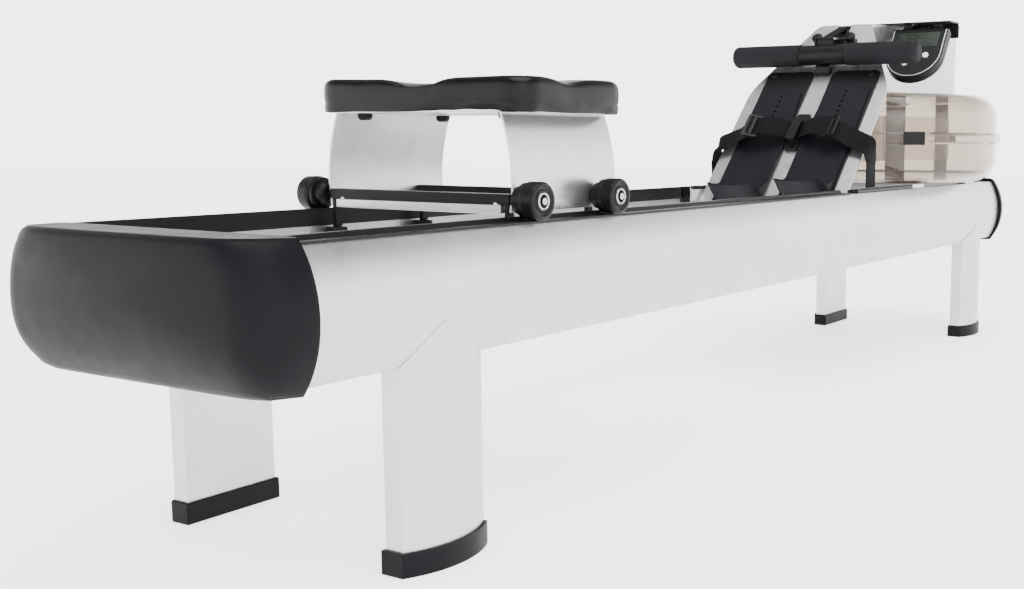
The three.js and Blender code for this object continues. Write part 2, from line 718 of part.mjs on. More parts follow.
// A foam grip with a rounded closed end.
function grip(sign) {
  const from = HANDLE.centre + GAP;
  const bore = HANDLE.bar + GAP;
  const outline = [[0, barEnd + GAP], [bore, barEnd + GAP], [bore, from], [HANDLE.grip, from]];
  outline.push([HANDLE.grip, HANDLE.half - 9]);
  for (let i = 1; i <= 4; i++) {
    const angle = (Math.PI / 2) * (i / 4);
    outline.push([HANDLE.grip - 9 + 9 * Math.cos(angle), HANDLE.half - 9 + 9 * Math.sin(angle)]);
  }
  outline.push([0, HANDLE.half]);
  const geometry = turnedZ(outline, 24).rotateX(sign > 0 ? -Math.PI / 2 : Math.PI / 2);
  return geometry.translate(handle.x, 0, handle.z);
}
for (const { name, sign } of SIDES) {
  add(`grip_${name}`, grip(sign), "foam");
}

const roller = onBoard(0, ROLLER.s, -ROLLER.in);
const rollerBore = ROLLER.half + 1;
add(
  "strap_roller",
  cut(
    rod(ROLLER.radius, [roller.x, -ROLLER.half, roller.z], [roller.x, ROLLER.half, roller.z], 24),
    rod(ROLLER.axle + RUNNING, [roller.x, -rollerBore, roller.z], [roller.x, rollerBore, roller.z], 16),
  ),
  "plastic",
);

// The strap rises from the handle, goes over the roller, and twists on its way to the drum's side.
function driveStrap() {
  const reach = ROLLER.radius + WEB.thickness / 2 + GAP;
  const start = new THREE.Vector3(handle.x, 0, handle.z + HANDLE.sleeve + 9 + 4 * GAP);
  const end = new THREE.Vector3(TANK_X, -DRUM.radius - WEB.thickness / 2 - GAP, drumZ + DRUM.width / 2);
  const near = end.clone().setX(end.x - DRUM.flange - 8);
  const clock = (to, sense) => {
    const way = to.clone().sub(roller).setY(0);
    return Math.atan2(way.x, way.z) + sense * Math.acos(reach / way.length());
  };
  const onRoller = (angle) => {
    const out = new THREE.Vector3(Math.sin(angle), 0, Math.cos(angle));
    return roller.clone().addScaledVector(out, reach);
  };
  const first = clock(start, 1);
  const last = clock(near, -1);
  const meet = onRoller(first);
  const leave = onRoller(last);
  const stations = [0, 1, 2, 3].map((i) => ({ at: start.clone().lerp(meet, i / 4), across: Y }));
  for (let i = 0; i <= 7; i++) {
    stations.push({ at: onRoller(first + ((last - first) * i) / 7), across: Y });
  }
  for (let i = 1; i <= 8; i++) {
    const turn = (Math.PI / 2) * Math.max(0, (i - 1) / 7);
    const across = new THREE.Vector3(0, Math.cos(turn), Math.sin(turn));
    stations.push({ at: leave.clone().lerp(near, i / 8), across });
  }
  stations.push({ at: end, across: Z });
  return ribbon(stations, WEB.width, WEB.thickness);
}
add("drive_strap", driveStrap(), "webbing");

// The hood is a bent sheet over the drive: a narrow neck at the board, widening over the tank.
function hood() {
  const outline = (inset) => {
    const neck = HOOD.neck - inset;
    const wide = HOOD.wide - inset;
    const front = TANK_X + HOOD.front - inset;
    const neckEnd = BOARD_X + Math.sin(BOARD.tilt) * BOARD.top;
    return polygon([
      [BOARD_X, -neck],
      [neckEnd, -neck],
      [SHOULDER_X, -wide],
      [front, -wide],
      [front, wide],
      [SHOULDER_X, wide],
      [neckEnd, neck],
      [BOARD_X, neck],
    ]);
  };
  const bottom = TANK_TOP + HOOD.lift;
  const shell = cut(
    alongZ(outline(0), bottom, HOOD_TOP),
    alongZ(outline(HOOD.wall), bottom - 1, HOOD_TOP - HOOD.wall),
  );
  const ahead = polygon([[-200, -500], [200, -500], [200, 900], [-200, 900]]);
  const before = sheet(ahead, -BOARD.thickness - GAP, 600);
  before.applyMatrix4(new THREE.Matrix4().makeRotationY(BOARD.tilt).setPosition(board.position));
  const slot = { from: roller.x - 60, to: roller.x + ROLLER.radius, half: BOARD.notch };
  const strapWay = box(slot.from, slot.to, -slot.half, slot.half, HOOD_TOP - 30, HOOD_TOP + 1);
  return cut(shell, before, strapWay);
}
add("hood", hood(), "silver");

const axleHalf = HOOD.neck - HOOD.wall - GAP;
add(
  "roller_axle",
  rod(ROLLER.axle, [roller.x, -axleHalf, roller.z], [roller.x, axleHalf, roller.z], 16),
  "steel",
);

// ---------------------------------------------------------------- monitor

const monitor = new THREE.Group();
monitor.position.set(MONITOR_X, MONITOR.y, HOOD_TOP - MONITOR.drop);
monitor.rotation.y = MONITOR.tilt;
machine.add(monitor);

// A D-shaped outline: straight across the top, round below. grow offsets it.
function monitorOutline(grow) {
  const radius = MONITOR.width / 2 + grow;
  const shape = new THREE.Shape();
  shape.moveTo(-radius, grow);
  shape.lineTo(-radius, -MONITOR.height + MONITOR.width / 2);
  shape.absarc(0, -MONITOR.height + MONITOR.width / 2, radius, Math.PI, 2 * Math.PI);
  shape.lineTo(radius, grow);
  return shape;
}

function button(across, down, radius, from, to) {
  return rod(radius, [from, across, -down], [to, across, -down], 14);
}

function monitorHousing() {
  const body = alongX(monitorOutline(0), 0, MONITOR.thickness);
  const half = MONITOR.screenWidth / 2 + GAP;
  const down = MONITOR.screenDown;
  const window = box(-1, 2.5 + GAP, -half, half, -down - MONITOR.screenHeight - GAP, -down + GAP);
  const wells = BUTTONS.map(({ across, down: low }) => button(across, low, MONITOR.button + 0.6, -1, 8));
  return cut(body, window, ...wells);
}
add("monitor_housing", monitorHousing(), "plastic", monitor);

const glassHalf = MONITOR.screenWidth / 2;
add(
  "monitor_screen",
  box(0.4, 2.5, -glassHalf, glassHalf, -MONITOR.screenDown - MONITOR.screenHeight, -MONITOR.screenDown),
  "screen",
  monitor,
);
for (const { name, across, down } of BUTTONS) {
  add(name, button(across, down, MONITOR.button, -MONITOR.buttonProud, 5), "button", monitor);
}

// The hood's side wall leans out from the neck. The bracket spans from it to the monitor's back.
const wallAngle = Math.atan2(
  HOOD.wide - HOOD.neck,
  SHOULDER_X - BOARD_X - Math.sin(BOARD.tilt) * BOARD.top,
);
function monitorBracket() {
  const top = HOOD_TOP + GAP;
  const arm = box(MONITOR_X - 6, MONITOR_X + MONITOR.visorReach, MONITOR.y - 60, -16, top, top + 3);
  const visorSide = polygon([
    [MONITOR_X - 6, top + 1],
    [MONITOR_X - 6, top + 3],
    [MONITOR_X + MONITOR.visorReach - 8, top + 4],
    [MONITOR_X + MONITOR.visorReach, top - 4],
    [MONITOR_X + MONITOR.visorReach, top - 26],
    [MONITOR_X + MONITOR.visorReach - MONITOR.visorWall, top - 26],
    [MONITOR_X + MONITOR.visorReach - MONITOR.visorWall, top - 4],
    [MONITOR_X + MONITOR.visorReach - 10, top + 1],
  ]);
  const visor = alongY(visorSide, MONITOR.y - 60, MONITOR.y + 34);
  return join(arm, visor);
}
add("monitor_bracket", monitorBracket(), "plastic");

// ---------------------------------------------------------------- seat carriage

const AXLES = [
  { name: "rear", x: AXLE.rear },
  { name: "front", x: AXLE.front },
];

// Half the carriage's width outside a side plate, at a height.
function plateHalf(z) {
  if (z > BELLY_Z) {
    const rise = (z - BELLY_Z) / (PLATE_TOP - BELLY_Z);
    return BELLY_HALF - (BELLY_HALF - TOP_HALF) * rise * rise;
  }
  const fall = (BELLY_Z - z) / (BELLY_Z - PLATE_BOTTOM);
  return BELLY_HALF - (BELLY_HALF - FOOT_HALF) * fall * fall;
}

function sidePlate(sign) {
  const levels = Array.from({ length: 11 }, (_, i) => PLATE_BOTTOM + ((PLATE_TOP - PLATE_BOTTOM) * i) / 10);
  const outside = levels.map((z) => [plateHalf(z), z]);
  const inside = levels.slice(1).map((z) => [plateHalf(z) - PLATE.skin, z]).reverse();
  const foot = FOOT_HALF - PLATE.lip;
  const lip = [
    [FOOT_HALF - PLATE.skin, PLATE_BOTTOM + PLATE.skin],
    [foot, PLATE_BOTTOM + PLATE.skin],
    [foot, PLATE_BOTTOM],
  ];
  const shape = polygon([...outside, ...inside, ...lip].map(([y, z]) => [sign * y, z]));
  const plate = alongX(shape, SEAT.rear, SEAT.rear + SEAT.length);
  const bore = AXLE.radius + RUNNING;
  const holes = AXLES.map(({ x }) => rod(bore, [x, sign * 110, WHEEL_Z], [x, sign * 160, WHEEL_Z], 16));
  const arm = GUIDE.arm + 2;
  const slots = AXLES.map(({ x }) => {
    const ends = [sign * (FOOT_HALF - PLATE.skin - GAP), sign * 100].sort((a, b) => a - b);
    return box(x - arm, x + arm, ends[0], ends[1], PLATE_BOTTOM - 1, PLATE_BOTTOM + PLATE.skin + 1);
  });
  return cut(plate, ...holes, ...slots);
}

const guideY = RAIL.inner - 0.5 - GUIDE.radius;
const guideTop = RAIL_TOP - TRACK.fascia - GUIDE.below;
const beamHalf = plateHalf(WHEEL_Z) - PLATE.skin - 1.2;

// An axle beam: a bar between the side plates, a stub axle at each end, and a pin for each guide roller.
function axleBeam(x) {
  let solid = box(x - 6, x + 6, -beamHalf, beamHalf, WHEEL_Z - AXLE.radius, WHEEL_Z + 6.5);
  for (const { sign } of SIDES) {
    const pinLow = guideTop - GUIDE.height - 2;
    const y = sign * guideY;
    const armEnd = FOOT_HALF - PLATE.skin - 2 * GAP;
    const arms = [sign * (guideY - GUIDE.arm), sign * armEnd].sort((a, b) => a - b);
    solid = join(
      solid,
      rod(AXLE.radius, [x, sign * (beamHalf - 2), WHEEL_Z], [x, sign * (WHEEL_OUTER - 2), WHEEL_Z], 16),
      box(x - GUIDE.arm, x + GUIDE.arm, arms[0], arms[1], guideTop + 1, WHEEL_Z),
      rod(GUIDE.pin, [x, y, pinLow], [x, y, guideTop + 3], 16),
    );
  }
  return solid;
}

function wheel(sign, x) {
  const ends = [sign * (WHEEL_OUTER - WHEEL.width), sign * WHEEL_OUTER].sort((a, b) => a - b);
  const bore = AXLE.radius + RUNNING;
  const outline = [
    [bore, 0],
    [WHEEL.radius - 2.5, 0],
    [WHEEL.radius, 2.5],
    [WHEEL.radius, WHEEL.width - 2.5],
    [WHEEL.radius - 2.5, WHEEL.width],
    [bore, WHEEL.width],
    [bore, 0],
  ];
  return turnedZ(outline, 32).rotateX(-Math.PI / 2).translate(x, ends[0], WHEEL_Z);
}

function guideRoller(sign, x) {
  const bore = GUIDE.pin + RUNNING;
  const outline = [
    [bore, 0],
    [GUIDE.radius, 0],
    [GUIDE.radius, GUIDE.height],
    [bore, GUIDE.height],
    [bore, 0],
  ];
  return turnedZ(outline, 24).translate(x, sign * guideY, guideTop - GUIDE.height);
}

for (const { name, sign } of SIDES) {
  add(`side_plate_${name}`, sidePlate(sign), "silver");
  for (const axle of AXLES) {
    add(`wheel_${axle.name}_${name}`, wheel(sign, axle.x), "plastic");
    add(`guide_roller_${axle.name}_${name}`, guideRoller(sign, axle.x), "plastic");
  }
}
for (const axle of AXLES) {
  add(`axle_beam_${axle.name}`, axleBeam(axle.x), "plastic");
}

const crossHalf = FOOT_HALF - PLATE.lip - GAP;
const crossTop = WHEEL_Z - AXLE.radius - GAP;
const crossX = AXLE.rear - CROSS.width / 2;
add(
  "cross_tie",
  box(crossX, crossX + CROSS.width, -crossHalf, crossHalf, crossTop - CROSS.height, crossTop),
  "silver",
);

const plateTop = PLATE_TOP + GAP;
add(
  "seat_plate",
  box(SEAT.rear, SEAT.rear + SEAT.length, -TOP_HALF - 4, TOP_HALF + 4, plateTop, SEAT_BOTTOM - GAP),
  "silver",
);

const cushion = new THREE.ExtrudeGeometry(
  roundedRectangle(
    SEAT.rear - 2 + SEAT.round,
    SEAT.rear + SEAT.length + 2 - SEAT.round,
    -SEAT.half + SEAT.round,
    SEAT.half - SEAT.round,
    SEAT.corner - SEAT.round,
  ),
  {
    depth: SEAT.height - 2 * SEAT.round,
    bevelEnabled: true,
    bevelSize: SEAT.round,
    bevelThickness: SEAT.round,
    bevelSegments: 3,
    curveSegments: 5,
  },
).translate(0, 0, SEAT_BOTTOM + SEAT.round);
add("seat_pad", cushion, "rubber");

export default machine;
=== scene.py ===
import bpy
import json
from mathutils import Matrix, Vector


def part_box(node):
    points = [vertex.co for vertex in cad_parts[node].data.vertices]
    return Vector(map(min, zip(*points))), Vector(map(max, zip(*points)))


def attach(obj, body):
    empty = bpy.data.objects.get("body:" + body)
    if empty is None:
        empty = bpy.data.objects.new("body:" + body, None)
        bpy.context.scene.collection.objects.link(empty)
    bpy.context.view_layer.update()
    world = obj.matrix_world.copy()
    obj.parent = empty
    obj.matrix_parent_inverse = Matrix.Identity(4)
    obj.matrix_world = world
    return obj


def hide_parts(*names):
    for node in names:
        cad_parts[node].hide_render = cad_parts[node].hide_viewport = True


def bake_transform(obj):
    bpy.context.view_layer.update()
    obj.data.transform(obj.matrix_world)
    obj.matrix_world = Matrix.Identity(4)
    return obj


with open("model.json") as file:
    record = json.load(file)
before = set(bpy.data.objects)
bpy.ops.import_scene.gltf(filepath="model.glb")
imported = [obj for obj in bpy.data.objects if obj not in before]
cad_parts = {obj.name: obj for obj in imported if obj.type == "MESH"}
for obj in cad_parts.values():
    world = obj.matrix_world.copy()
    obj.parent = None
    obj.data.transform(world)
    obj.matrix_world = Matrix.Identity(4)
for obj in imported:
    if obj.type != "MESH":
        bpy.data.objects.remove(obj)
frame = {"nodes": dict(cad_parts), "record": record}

"""The looks of a water rowing machine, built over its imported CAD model."""

import json
import logging
import math
from collections.abc import Callable, Iterable, Sequence
from dataclasses import dataclass, field
from enum import Enum

import bmesh
import bpy
from mathutils import Matrix, Vector

logging.basicConfig(level=logging.INFO, format="%(message)s")
log = logging.getLogger("rower")

Point = tuple[float, float]
Node = bpy.types.Node
Socket = bpy.types.NodeSocket
RECORD = frame["record"]
BODY_OF = {node: body for body, nodes in RECORD["behaviour"]["bodies"].items() for node in nodes}
SLOT_OF = {entry["node"]: entry["material_slot"] for entry in RECORD["subparts"]}
JOINTS = {joint["name"]: joint for joint in RECORD["behaviour"]["joints"]}
SIDES = {"left": 1, "right": -1}
AXLES = ("rear", "front")
UP = Vector((0, 0, 1))
ACROSS = Vector((0, 1, 0))


# ---------------------------------------------------------------- finishes


class Pattern(Enum):
    """The fine relief of a finish."""

    GRAIN = "grain"
    BRUSHED = "brushed"
    WEAVE = "weave"
    FOAM = "foam"
    SKIN = "skin"
    CLEAR = "clear"


PATCHES = 14.0
SMEARS = 38.0
CLEAR_IOR = 1.3
SOLID_IOR = 1.5


@dataclass
class Graph:
    """A material's node tree, with the place on the surface that its patterns read."""

    tree: bpy.types.NodeTree
    where: Socket | None = None

    def add(self, kind: str, vector: Socket | None = None, **values: float | Sequence[float]) -> Node:
        """Add a node and set its inputs.

        Args:
            kind: The node's type, without its prefix.
            vector: What feeds its Vector input, if anything does.
            values: Its other inputs by name, with an underscore for each space.

        Returns:
            The node.
        """
        node = self.tree.nodes.new(f"ShaderNode{kind}")
        for name, value in values.items():
            node.inputs[name.replace("_", " ")].default_value = value
        if vector is not None:
            self.tree.links.new(vector, node.inputs["Vector"])
        return node

    def noise(self, scale: float, where: Socket | None = None) -> Socket:
        """Return a noise field of about the given number of lumps a metre."""
        at = self.where if where is None else where
        return self.add("TexNoise", at, Scale=scale, Detail=4).outputs["Fac"]

    def ranged(self, value: Socket, low: float, high: float) -> Socket:
        """Return the middle of a 0 to 1 field spread from low to high."""
        spread = self.add("MapRange", From_Min=0.3, From_Max=0.7, To_Min=low, To_Max=high)
        self.tree.links.new(value, spread.inputs["Value"])
        return spread.outputs["Result"]

    def bands(self, direction: str, scale: float) -> Socket:
        """Return fine ridges across one axis."""
        wave = self.add("TexWave", self.where, Scale=scale, Distortion=0.4)
        wave.bands_direction = direction
        return wave.outputs["Fac"]


@dataclass(frozen=True)
class Finish:
    """A procedural surface: a colour, a shine, and the relief and wear that break them up."""

    name: str
    colour: tuple[float, float, float]
    rough: float
    pattern: Pattern = Pattern.GRAIN
    metal: float = 0.0
    scale: float = 900.0
    relief: float = 0.00008
    mottle: float = 0.05
    wear: float = 0.08
    clear: float = 0.0
    turn: float = 0.0
    gloss: float = 0.5

    def material(self) -> bpy.types.Material:
        """Return this finish's node material, made the first time it is asked for."""
        found = bpy.data.materials.get(self.name)
        if found:
            return found
        made = bpy.data.materials.new(self.name)
        made.use_nodes = True
        inputs, link = made.node_tree.nodes["Principled BSDF"].inputs, made.node_tree.links.new
        inputs["Metallic"].default_value = self.metal
        inputs["Specular IOR Level"].default_value = self.gloss
        inputs["Transmission Weight"].default_value = self.clear
        inputs["IOR"].default_value = CLEAR_IOR if self.clear else SOLID_IOR
        graph = Graph(made.node_tree)
        place = graph.add("TexCoord").outputs["Object"]
        graph.where = graph.add("Mapping", place, Rotation=(0, self.turn, 0)).outputs["Vector"]
        link(self._colour(graph), inputs["Base Color"])
        link(self._shine(graph), inputs["Roughness"])
        link(self._normal(graph), inputs["Normal"])
        return made

    def _colour(self, graph: Graph) -> Socket:
        """Return the base colour, mottled a little in large soft patches."""
        mix = graph.add("Mix")
        mix.data_type = "RGBA"
        mix.inputs["A"].default_value = (*[c * (1 - self.mottle) for c in self.colour], 1)
        mix.inputs["B"].default_value = (*[min(1, c * (1 + self.mottle)) for c in self.colour], 1)
        graph.tree.links.new(graph.ranged(graph.noise(PATCHES), 0, 1), mix.inputs["Factor"])
        return mix.outputs["Result"]

    def _shine(self, graph: Graph) -> Socket:
        """Return the roughness, varied as handling and dust do."""
        return graph.ranged(graph.noise(SMEARS), self.rough - self.wear / 2, self.rough + self.wear / 2)

    def _height(self, graph: Graph) -> Socket:
        """Return the height field of this finish's pattern."""
        if self.pattern is Pattern.WEAVE:
            both = graph.add("Math")
            both.operation = "ADD"
            graph.tree.links.new(graph.bands("Y", self.scale), both.inputs[0])
            graph.tree.links.new(graph.bands("Z", self.scale * 0.7), both.inputs[1])
            return both.outputs[0]
        if self.pattern is Pattern.BRUSHED:
            stretched = graph.add("Mapping", graph.where, Scale=(0.02, 1, 1)).outputs["Vector"]
            return graph.noise(self.scale, stretched)
        if self.pattern in (Pattern.FOAM, Pattern.SKIN):
            return graph.add("TexVoronoi", graph.where, Scale=self.scale).outputs["Distance"]
        return graph.noise(self.scale)

    def _normal(self, graph: Graph) -> Socket:
        """Return the surface's normal, bumped with the pattern's height field."""
        bump = graph.add("Bump", Strength=0.6, Distance=self.relief)
        graph.tree.links.new(self._height(graph), bump.inputs["Height"])
        return bump.outputs["Normal"]


BOARD_TURN = -math.radians(44)
SILVER = Finish(
    "satin_aluminium", (0.5, 0.502, 0.51), 0.3, Pattern.BRUSHED, metal=0.92, scale=700, relief=0.000006
)
STEEL = Finish("bright_steel", (0.4, 0.4, 0.41), 0.2, Pattern.BRUSHED, metal=1.0, scale=900, relief=0.000006)
RUBBER = Finish("cap_rubber", (0.0045, 0.0041, 0.0055), 0.45, scale=1500, relief=0.00006, gloss=0.07)
PLASTIC = Finish("satin_plastic", (0.004, 0.004, 0.0048), 0.42, scale=2200, relief=0.00006, gloss=0.14)
TREAD = Finish("tread_plastic", (0.0055, 0.0053, 0.0075), 0.5, scale=1700, relief=0.0001, gloss=0.1)
FOAM = Finish("grip_foam", (0.0085, 0.008, 0.0098), 0.7, Pattern.FOAM, relief=0.0002, gloss=0.12)
WEBBING = Finish(
    "woven_webbing",
    (0.0035, 0.0035, 0.0045),
    0.7,
    Pattern.WEAVE,
    scale=190,
    relief=0.0003,
    turn=BOARD_TURN,
    gloss=0.07,
)
PAD = Finish("pad_skin", (0.002, 0.0019, 0.0024), 0.32, Pattern.SKIN, scale=1300, relief=0.00005, gloss=0.14)
CLEAR = Finish(
    "smoky_clear", (0.6, 0.545, 0.485), 0.05, Pattern.CLEAR, scale=30, relief=0.00002, clear=0.95, wear=0.02
)
PADDLE = Finish("post_plastic", (0.14, 0.12, 0.11), 0.2, clear=0.35)
BLADE = Finish("blade_plastic", (0.8, 0.74, 0.66), 0.12, clear=0.85)
SCREEN = Finish("display", (0.011, 0.017, 0.012), 0.15, scale=2500, relief=0.00001, gloss=0.25)
DIGIT = Finish("display_segment", (0.004, 0.005, 0.004), 0.3, scale=2500, relief=0.00001)
IVORY = Finish("button_plastic", (0.85, 0.85, 0.83), 0.35, scale=2200)

FINISH_OF_SLOT = {
    "silver": SILVER,
    "steel": STEEL,
    "rubber": RUBBER,
    "black_plastic": PLASTIC,
    "grey_plastic": TREAD,
    "foam": FOAM,
    "webbing": WEBBING,
    "tank_clear": CLEAR,
    "paddle": PADDLE,
    "screen": SCREEN,
    "button": IVORY,
    "pad": PAD,
}


# ---------------------------------------------------------------- meshes


def middle_of(node: str) -> Vector:
    """Return the middle of a CAD node's box."""
    low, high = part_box(node)
    return (low + high) / 2


def linked(name: str, data: bpy.types.ID) -> bpy.types.Object:
    """Return a new object that shows some data in the scene."""
    obj = bpy.data.objects.new(name, data)
    bpy.context.scene.collection.objects.link(obj)
    return obj


def face_axes(tilt: float) -> tuple[Vector, Vector]:
    """Return the directions up and out of a face that leans forward by a tilt."""
    return Vector((math.sin(tilt), 0, math.cos(tilt))), Vector((-math.cos(tilt), 0, math.sin(tilt)))


def face_matrix(at: Vector, tilt: float) -> Matrix:
    """Return a placing matrix whose local X is +Y, Y is up a leaning face, and Z is out of it."""
    up, off = face_axes(tilt)
    return Matrix.Translation(at) @ Matrix((up.cross(off), up, off)).transposed().to_4x4()


def arc(centre: Point, radius: float, start: float, end: float, steps: int) -> list[Point]:
    """Return points along an arc, with its angles in degrees."""
    angles = [math.radians(start + (end - start) * i / steps) for i in range(steps + 1)]
    return [(centre[0] + radius * math.cos(a), centre[1] + radius * math.sin(a)) for a in angles]


def rounded(width: float, height: float, radius: float, steps: int = 5) -> list[Point]:
    """Return a rectangle about the origin with rounded corners, anticlockwise."""
    u, v = width / 2 - radius, height / 2 - radius
    corners = [((u, -v), -90), ((u, v), 0), ((-u, v), 90), ((-u, -v), 180)]
    return [p for centre, start in corners for p in arc(centre, radius, start, start + 90, steps)]


@dataclass
class Sketch:
    """Points and faces gathered from several strokes, which become one piece."""

    points: list[Vector] = field(default_factory=list)
    faces: list[tuple[int, ...]] = field(default_factory=list)

    def loft(self, loops: Sequence[Sequence[Vector]], caps: bool = True, ring: bool = False) -> "Sketch":
        """Skin closed loops of equal length in order.

        Args:
            loops: The loops, each a list of points.
            caps: Whether to close the first and last loop with a face.
            ring: Whether the last loop joins the first.

        Returns:
            This sketch.
        """
        start, count = len(self.points), len(loops[0])
        for loop in loops:
            self.points.extend(Vector(p) for p in loop)
        pairs = [(i, (i + 1) % len(loops)) for i in range(len(loops) if ring else len(loops) - 1)]
        for low, high in pairs:
            for k in range(count):
                a, b = start + low * count + k, start + low * count + (k + 1) % count
                c, d = start + high * count + (k + 1) % count, start + high * count + k
                self.faces.append((a, b, c, d))
        if caps and not ring:
            self.faces.append(tuple(start + k for k in reversed(range(count))))
            self.faces.append(tuple(start + (len(loops) - 1) * count + k for k in range(count)))
        return self

    def turned(
        self,
        profile: Sequence[Point],
        centre: Vector,
        axis: Vector,
        steps: int = 48,
        ring: bool = False,
        wave: Callable[[float, float], float] | None = None,
    ) -> "Sketch":
        """Turn a (radius, height) profile about an axis.

        Args:
            profile: The profile's points.
            centre: The point of the axis where the height is nought.
            axis: The direction in which the height grows.
            steps: The number of points round.
            ring: Whether the profile closes on itself.
            wave: A change of radius for an angle and a height.

        Returns:
            This sketch.
        """
        turn = UP.rotation_difference(axis)
        loops = []
        for radius, height in profile:
            loop = []
            for k in range(steps):
                angle = 2 * math.pi * k / steps
                r = radius + (wave(angle, height) if wave else 0)
                loop.append(centre + turn @ Vector((r * math.cos(angle), r * math.sin(angle), height)))
            loops.append(loop)
        return self.loft(loops, caps=not ring, ring=ring)

    def prism(self, outline: Sequence[Point], place: Matrix, low: float, high: float) -> "Sketch":
        """Raise an outline from low to high along the local Z of a placing matrix."""
        return self.loft([[place @ Vector((u, v, w)) for u, v in outline] for w in (low, high)])

    def block(self, low: Vector, high: Vector) -> "Sketch":
        """Add a block between two corners."""
        outline = [(low.x, low.y), (high.x, low.y), (high.x, high.y), (low.x, high.y)]
        return self.prism(outline, Matrix.Identity(4), low.z, high.z)

    def band(self, stations: Sequence[tuple[Vector, Vector]], width: float, thickness: float) -> "Sketch":
        """Sweep a strap's section with rounded edges along stations of a centre and a width direction."""
        section = rounded(width, thickness, thickness * 0.49, 3)
        loops = []
        for i, (at, across) in enumerate(stations):
            way = (stations[min(i + 1, len(stations) - 1)][0] - stations[max(i - 1, 0)][0]).normalized()
            side = (across - way * across.dot(way)).normalized()
            up = way.cross(side).normalized()
            loops.append([at + side * u + up * v for u, v in section])
        return self.loft(loops)

    def mesh(self, name: str) -> bpy.types.Mesh:
        """Return a mesh of the points and faces as they stand."""
        mesh = bpy.data.meshes.new(name)
        mesh.from_pydata([tuple(p) for p in self.points], [], self.faces)
        return mesh

    def piece(
        self,
        name: str,
        finish: Finish,
        body: str,
        stands_for: Iterable[str] = (),
        bevel: float = 0.0,
        crease: float = 32.0,
        merge: bool = False,
    ) -> bpy.types.Object:
        """Make the object, dress it and set it to ride on a body.

        Args:
            name: The object's name.
            finish: What it is made of.
            body: The CAD body that it moves with.
            stands_for: CAD nodes that it is shown in place of.
            bevel: The width of the rounding of its edges, in metres.
            crease: The angle over which an edge stays sharp, in degrees.
            merge: Whether to weld points that coincide.

        Returns:
            The object.
        """
        mesh = self.mesh(name)
        work = bmesh.new()
        work.from_mesh(mesh)
        if merge:
            bmesh.ops.remove_doubles(work, verts=work.verts, dist=2e-5)
            bmesh.ops.dissolve_degenerate(work, edges=work.edges, dist=1e-6)
        bmesh.ops.recalc_face_normals(work, faces=work.faces)
        work.to_mesh(mesh)
        work.free()
        return dress(linked(name, mesh), finish, body, stands_for, bevel, crease)


def dress(
    obj: bpy.types.Object,
    finish: Finish,
    body: str | None,
    stands_for: Iterable[str] = (),
    bevel: float = 0.0,
    crease: float = 32.0,
) -> bpy.types.Object:
    """Give an object its finish, soft edges, shading and body.

    Args:
        obj: The object.
        finish: What it is made of.
        body: The CAD body that it moves with, or None if it rides on no body.
        stands_for: CAD nodes that it is shown in place of.
        bevel: The width of the rounding of its edges, in metres.
        crease: The angle over which an edge stays sharp, in degrees.

    Returns:
        The object.
    """
    obj.data.materials.clear()
    obj.data.materials.append(finish.material())
    obj.data.shade_smooth()
    obj.data.set_sharp_from_angle(angle=math.radians(crease))
    if bevel:
        soften = obj.modifiers.new("soft_edges", "BEVEL")
        soften.width = bevel
        soften.segments = 3
        soften.limit_method = "ANGLE"
        soften.angle_limit = math.radians(crease)
        soften.harden_normals = True
    if body:
        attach(obj, body)
    nodes = list(stands_for)
    if nodes:
        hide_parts(*nodes)
    log.info("%s: %d faces, %s", obj.name, len(obj.data.polygons), finish.name)
    return obj


def refined(node: str, bevel: float, finish: Finish | None = None, crease: float = 32.0) -> bpy.types.Object:
    """Show a CAD node as a welded copy with flat faces made whole and edges rounded.

    Args:
        node: The CAD node.
        bevel: The width of the rounding, in metres.
        finish: What it is made of, if not the finish of the node's slot.
        crease: The angle over which an edge is rounded and stays sharp, in degrees.

    Returns:
        The copy.
    """
    obj = linked(f"{node}_piece", frame["nodes"][node].data.copy())
    work = bmesh.new()
    work.from_mesh(obj.data)
    bmesh.ops.remove_doubles(work, verts=work.verts, dist=1e-5)
    bmesh.ops.dissolve_limit(work, angle_limit=math.radians(1.0), verts=work.verts, edges=work.edges)
    bmesh.ops.recalc_face_normals(work, faces=work.faces)
    work.to_mesh(obj.data)
    work.free()
    if "custom_normal" in obj.data.attributes:
        obj.data.attributes.remove(obj.data.attributes["custom_normal"])
    return dress(obj, finish or FINISH_OF_SLOT[SLOT_OF[node]], BODY_OF[node], [node], bevel, crease)


# ---------------------------------------------------------------- frame


CROSS_MEMBERS = ("cross_member_rear", "footboard_cross_member", "tank_support_rear", "tank_support_front")


